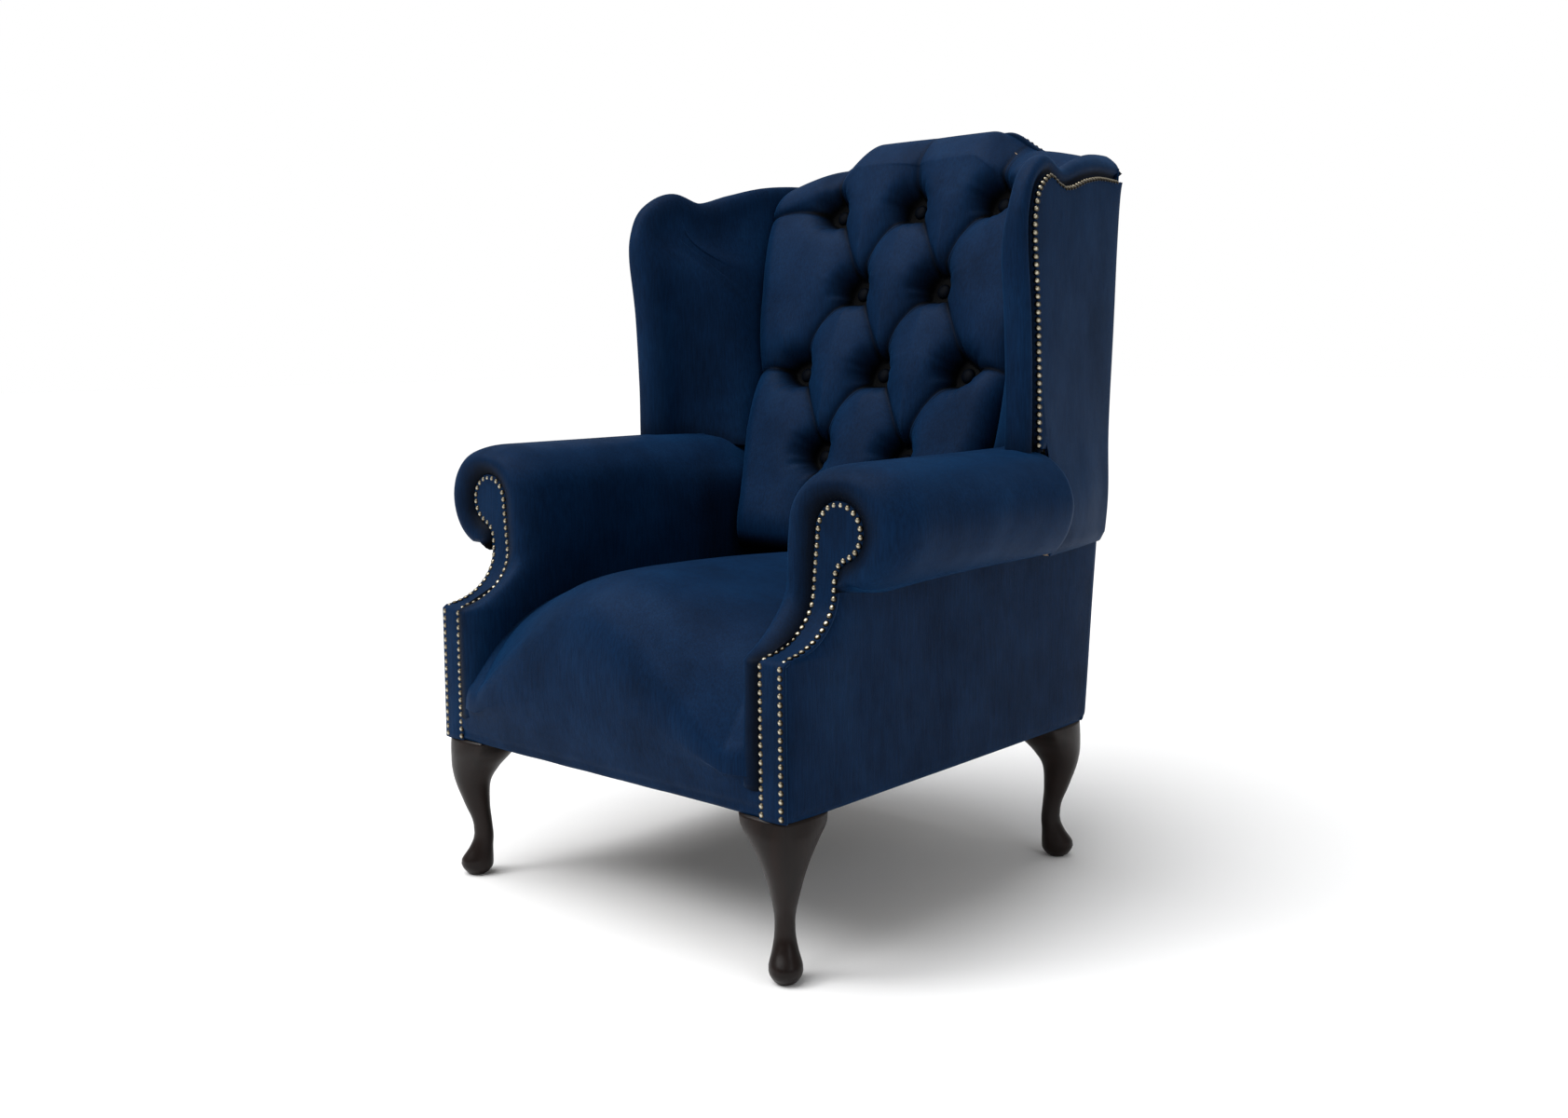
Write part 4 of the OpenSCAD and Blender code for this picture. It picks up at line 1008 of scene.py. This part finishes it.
leg = {
    "glide": 0.003,
    # share of the height, then middle and half depth on the corner's diagonal and half width across it in mm,
    # then squareness
    "stations": [
        (1.00, 58, 51, 54, 1.2), (0.93, 55, 49, 52, 1.35), (0.86, 49, 43, 44, 1.6), (0.77, 41, 34, 34, 1.8),
        (0.66, 37, 25, 25, 2), (0.50, 42, 18, 17, 2), (0.38, 48, 14, 13, 2), (0.27, 50, 14, 13, 2),
        (0.18, 46, 17, 16, 2), (0.09, 40, 23, 21, 2), (0.04, 40, 22, 20, 2), (0.0, 40, 16, 15, 2)],
}


def legGrid(side, end):
    # rings of a superellipse carried down the leg's curve, on the diagonal of its corner
    line = through(np.array(leg["stations"]), 90)
    a = np.linspace(0, 2 * math.pi, 48, endpoint=False)[None]
    power = 2 / line[:, 4:5]
    u = line[:, 1:2] + line[:, 2:3] * np.sign(np.cos(a)) * np.abs(np.cos(a)) ** power
    v = line[:, 3:4] * np.sign(np.sin(a)) * np.abs(np.sin(a)) ** power
    z = leg["glide"] + line[:, 0:1] * (legTop - leg["glide"]) + 0 * a
    inX, inY = (u - v) / math.sqrt(2) / 1000, (u + v) / math.sqrt(2) / 1000
    x = sides[side] * (halfWidth - inX)
    y = inY if end == "front" else chairDepth - inY
    return np.stack([x, y, z], -1)


for end in ("front", "rear"):
    for side in sides:
        grid = legGrid(side, end)
        rows, around = grid.shape[:2]
        faces = gridFaces(rows, around, loop=True)
        faces += [list(range(around)), list(range(rows * around - 1, (rows - 1) * around - 1, -1))]
        piece = makeMesh(f"leg_{end}_{side}_turned", grid, faces, mahogany)
        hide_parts(f"leg_{end}_{side}")
print("legs fitted")

# every new piece rides on the one body
for piece in [o for o in bpy.context.scene.objects if o.type == "MESH" and "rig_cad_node" not in o]:
    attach(piece, "root")

stageSettings = {"floor": (0.90, 0.90, 0.90), "seen": 1.0, "fill": 0.36, "sun": 2.9, "sunAngle": 60}
floorMesh = bpy.data.meshes.new("floor")
reach = 30.0
corners = [(-reach, -reach, 0), (reach, -reach, 0), (reach, reach, 0), (-reach, reach, 0)]
floorMesh.from_pydata(corners, [], [(0, 1, 2, 3)])
floor = bpy.data.objects.new("floor", floorMesh)
bpy.context.scene.collection.objects.link(floor)
floorFinish, _, _, floorShader = newFinish("paleFloor")
floorShader.inputs["Base Color"].default_value = (*stageSettings["floor"], 1)
floorShader.inputs["Roughness"].default_value = 0.9
floorMesh.materials.append(floorFinish)

# a white backdrop to look at, which lights the chair more softly than it looks
world = bpy.data.worlds.new("softWhite")
world.use_nodes = True
worldNodes, worldLinks = world.node_tree.nodes, world.node_tree.links
seen = addNode(worldNodes, "ShaderNodeBackground", {"Color": (1, 1, 1, 1), "Strength": stageSettings["seen"]})
fill = addNode(worldNodes, "ShaderNodeBackground", {"Color": (1, 1, 1, 1), "Strength": stageSettings["fill"]})
ray = addNode(worldNodes, "ShaderNodeLightPath")
either = addNode(worldNodes, "ShaderNodeMixShader")
worldLinks.new(ray.outputs["Is Camera Ray"], either.inputs["Fac"])
worldLinks.new(fill.outputs["Background"], either.inputs[1])
worldLinks.new(seen.outputs["Background"], either.inputs[2])
worldLinks.new(either.outputs["Shader"], worldNodes["World Output"].inputs["Surface"])
bpy.context.scene.world = world

sunData = bpy.data.lights.new("daylight", "SUN")
sunData.energy = stageSettings["sun"]
sunData.angle = math.radians(stageSettings["sunAngle"])
sun = bpy.data.objects.new("daylight", sunData)
sun.rotation_euler = Vector((0.26, 0.36, -0.90)).to_track_quat("-Z", "Y").to_euler()
bpy.context.scene.collection.objects.link(sun)


def softLight(name, place, target, size, power, colour=(1, 1, 1)):
    light = bpy.data.lights.new(name, "AREA")
    light.size = size
    light.energy = power
    light.color = colour
    lamp = bpy.data.objects.new(name, light)
    lamp.location = place
    lamp.rotation_euler = (Vector(target) - Vector(place)).to_track_quat("-Z", "Y").to_euler()
    bpy.context.scene.collection.objects.link(lamp)


softLight("keySoftbox", (-1.6, -2.6, 2.9), (0, 0, 0.6), 1.2, 40)
softLight("sideSoftbox", (3.0, -0.6, 1.9), (0, 0, 0.6), 1.2, 10, (0.93, 0.96, 1.0))
softLight("topSoftbox", (0.3, 0.2, 3.3), (0, 0, 0.5), 1.2, 24)

# the viewer stands off the chair's left corner, a little above the arms
view = {"place": (1.500, -1.68418, 0.761), "turn": 41.82, "tilt": 4.88, "roll": -0.6, "lens": 35.32,
        "shiftX": 0.0007, "shiftY": -0.051}
cameraData = bpy.data.cameras.new("camera")
cameraData.sensor_width = 36
cameraData.lens = view["lens"]
cameraData.shift_x, cameraData.shift_y = view["shiftX"], view["shiftY"]
camera = bpy.data.objects.new("camera", cameraData)
turn, tilt, roll = (math.radians(view[k]) for k in ("turn", "tilt", "roll"))
forward = Vector((-math.sin(turn) * math.cos(tilt), math.cos(turn) * math.cos(tilt), -math.sin(tilt)))
across = Vector((math.cos(turn), math.sin(turn), 0))
upwards = across.cross(forward)
acrossTurned = across * math.cos(roll) + upwards * math.sin(roll)
upTurned = acrossTurned.cross(forward)
facing = Matrix((acrossTurned, upTurned, -forward)).transposed().to_4x4()
camera.matrix_world = Matrix.Translation(view["place"]) @ facing
bpy.context.scene.collection.objects.link(camera)
bpy.context.scene.camera = camera
bpy.context.scene.view_settings.view_transform = "Standard"
print("stage set")
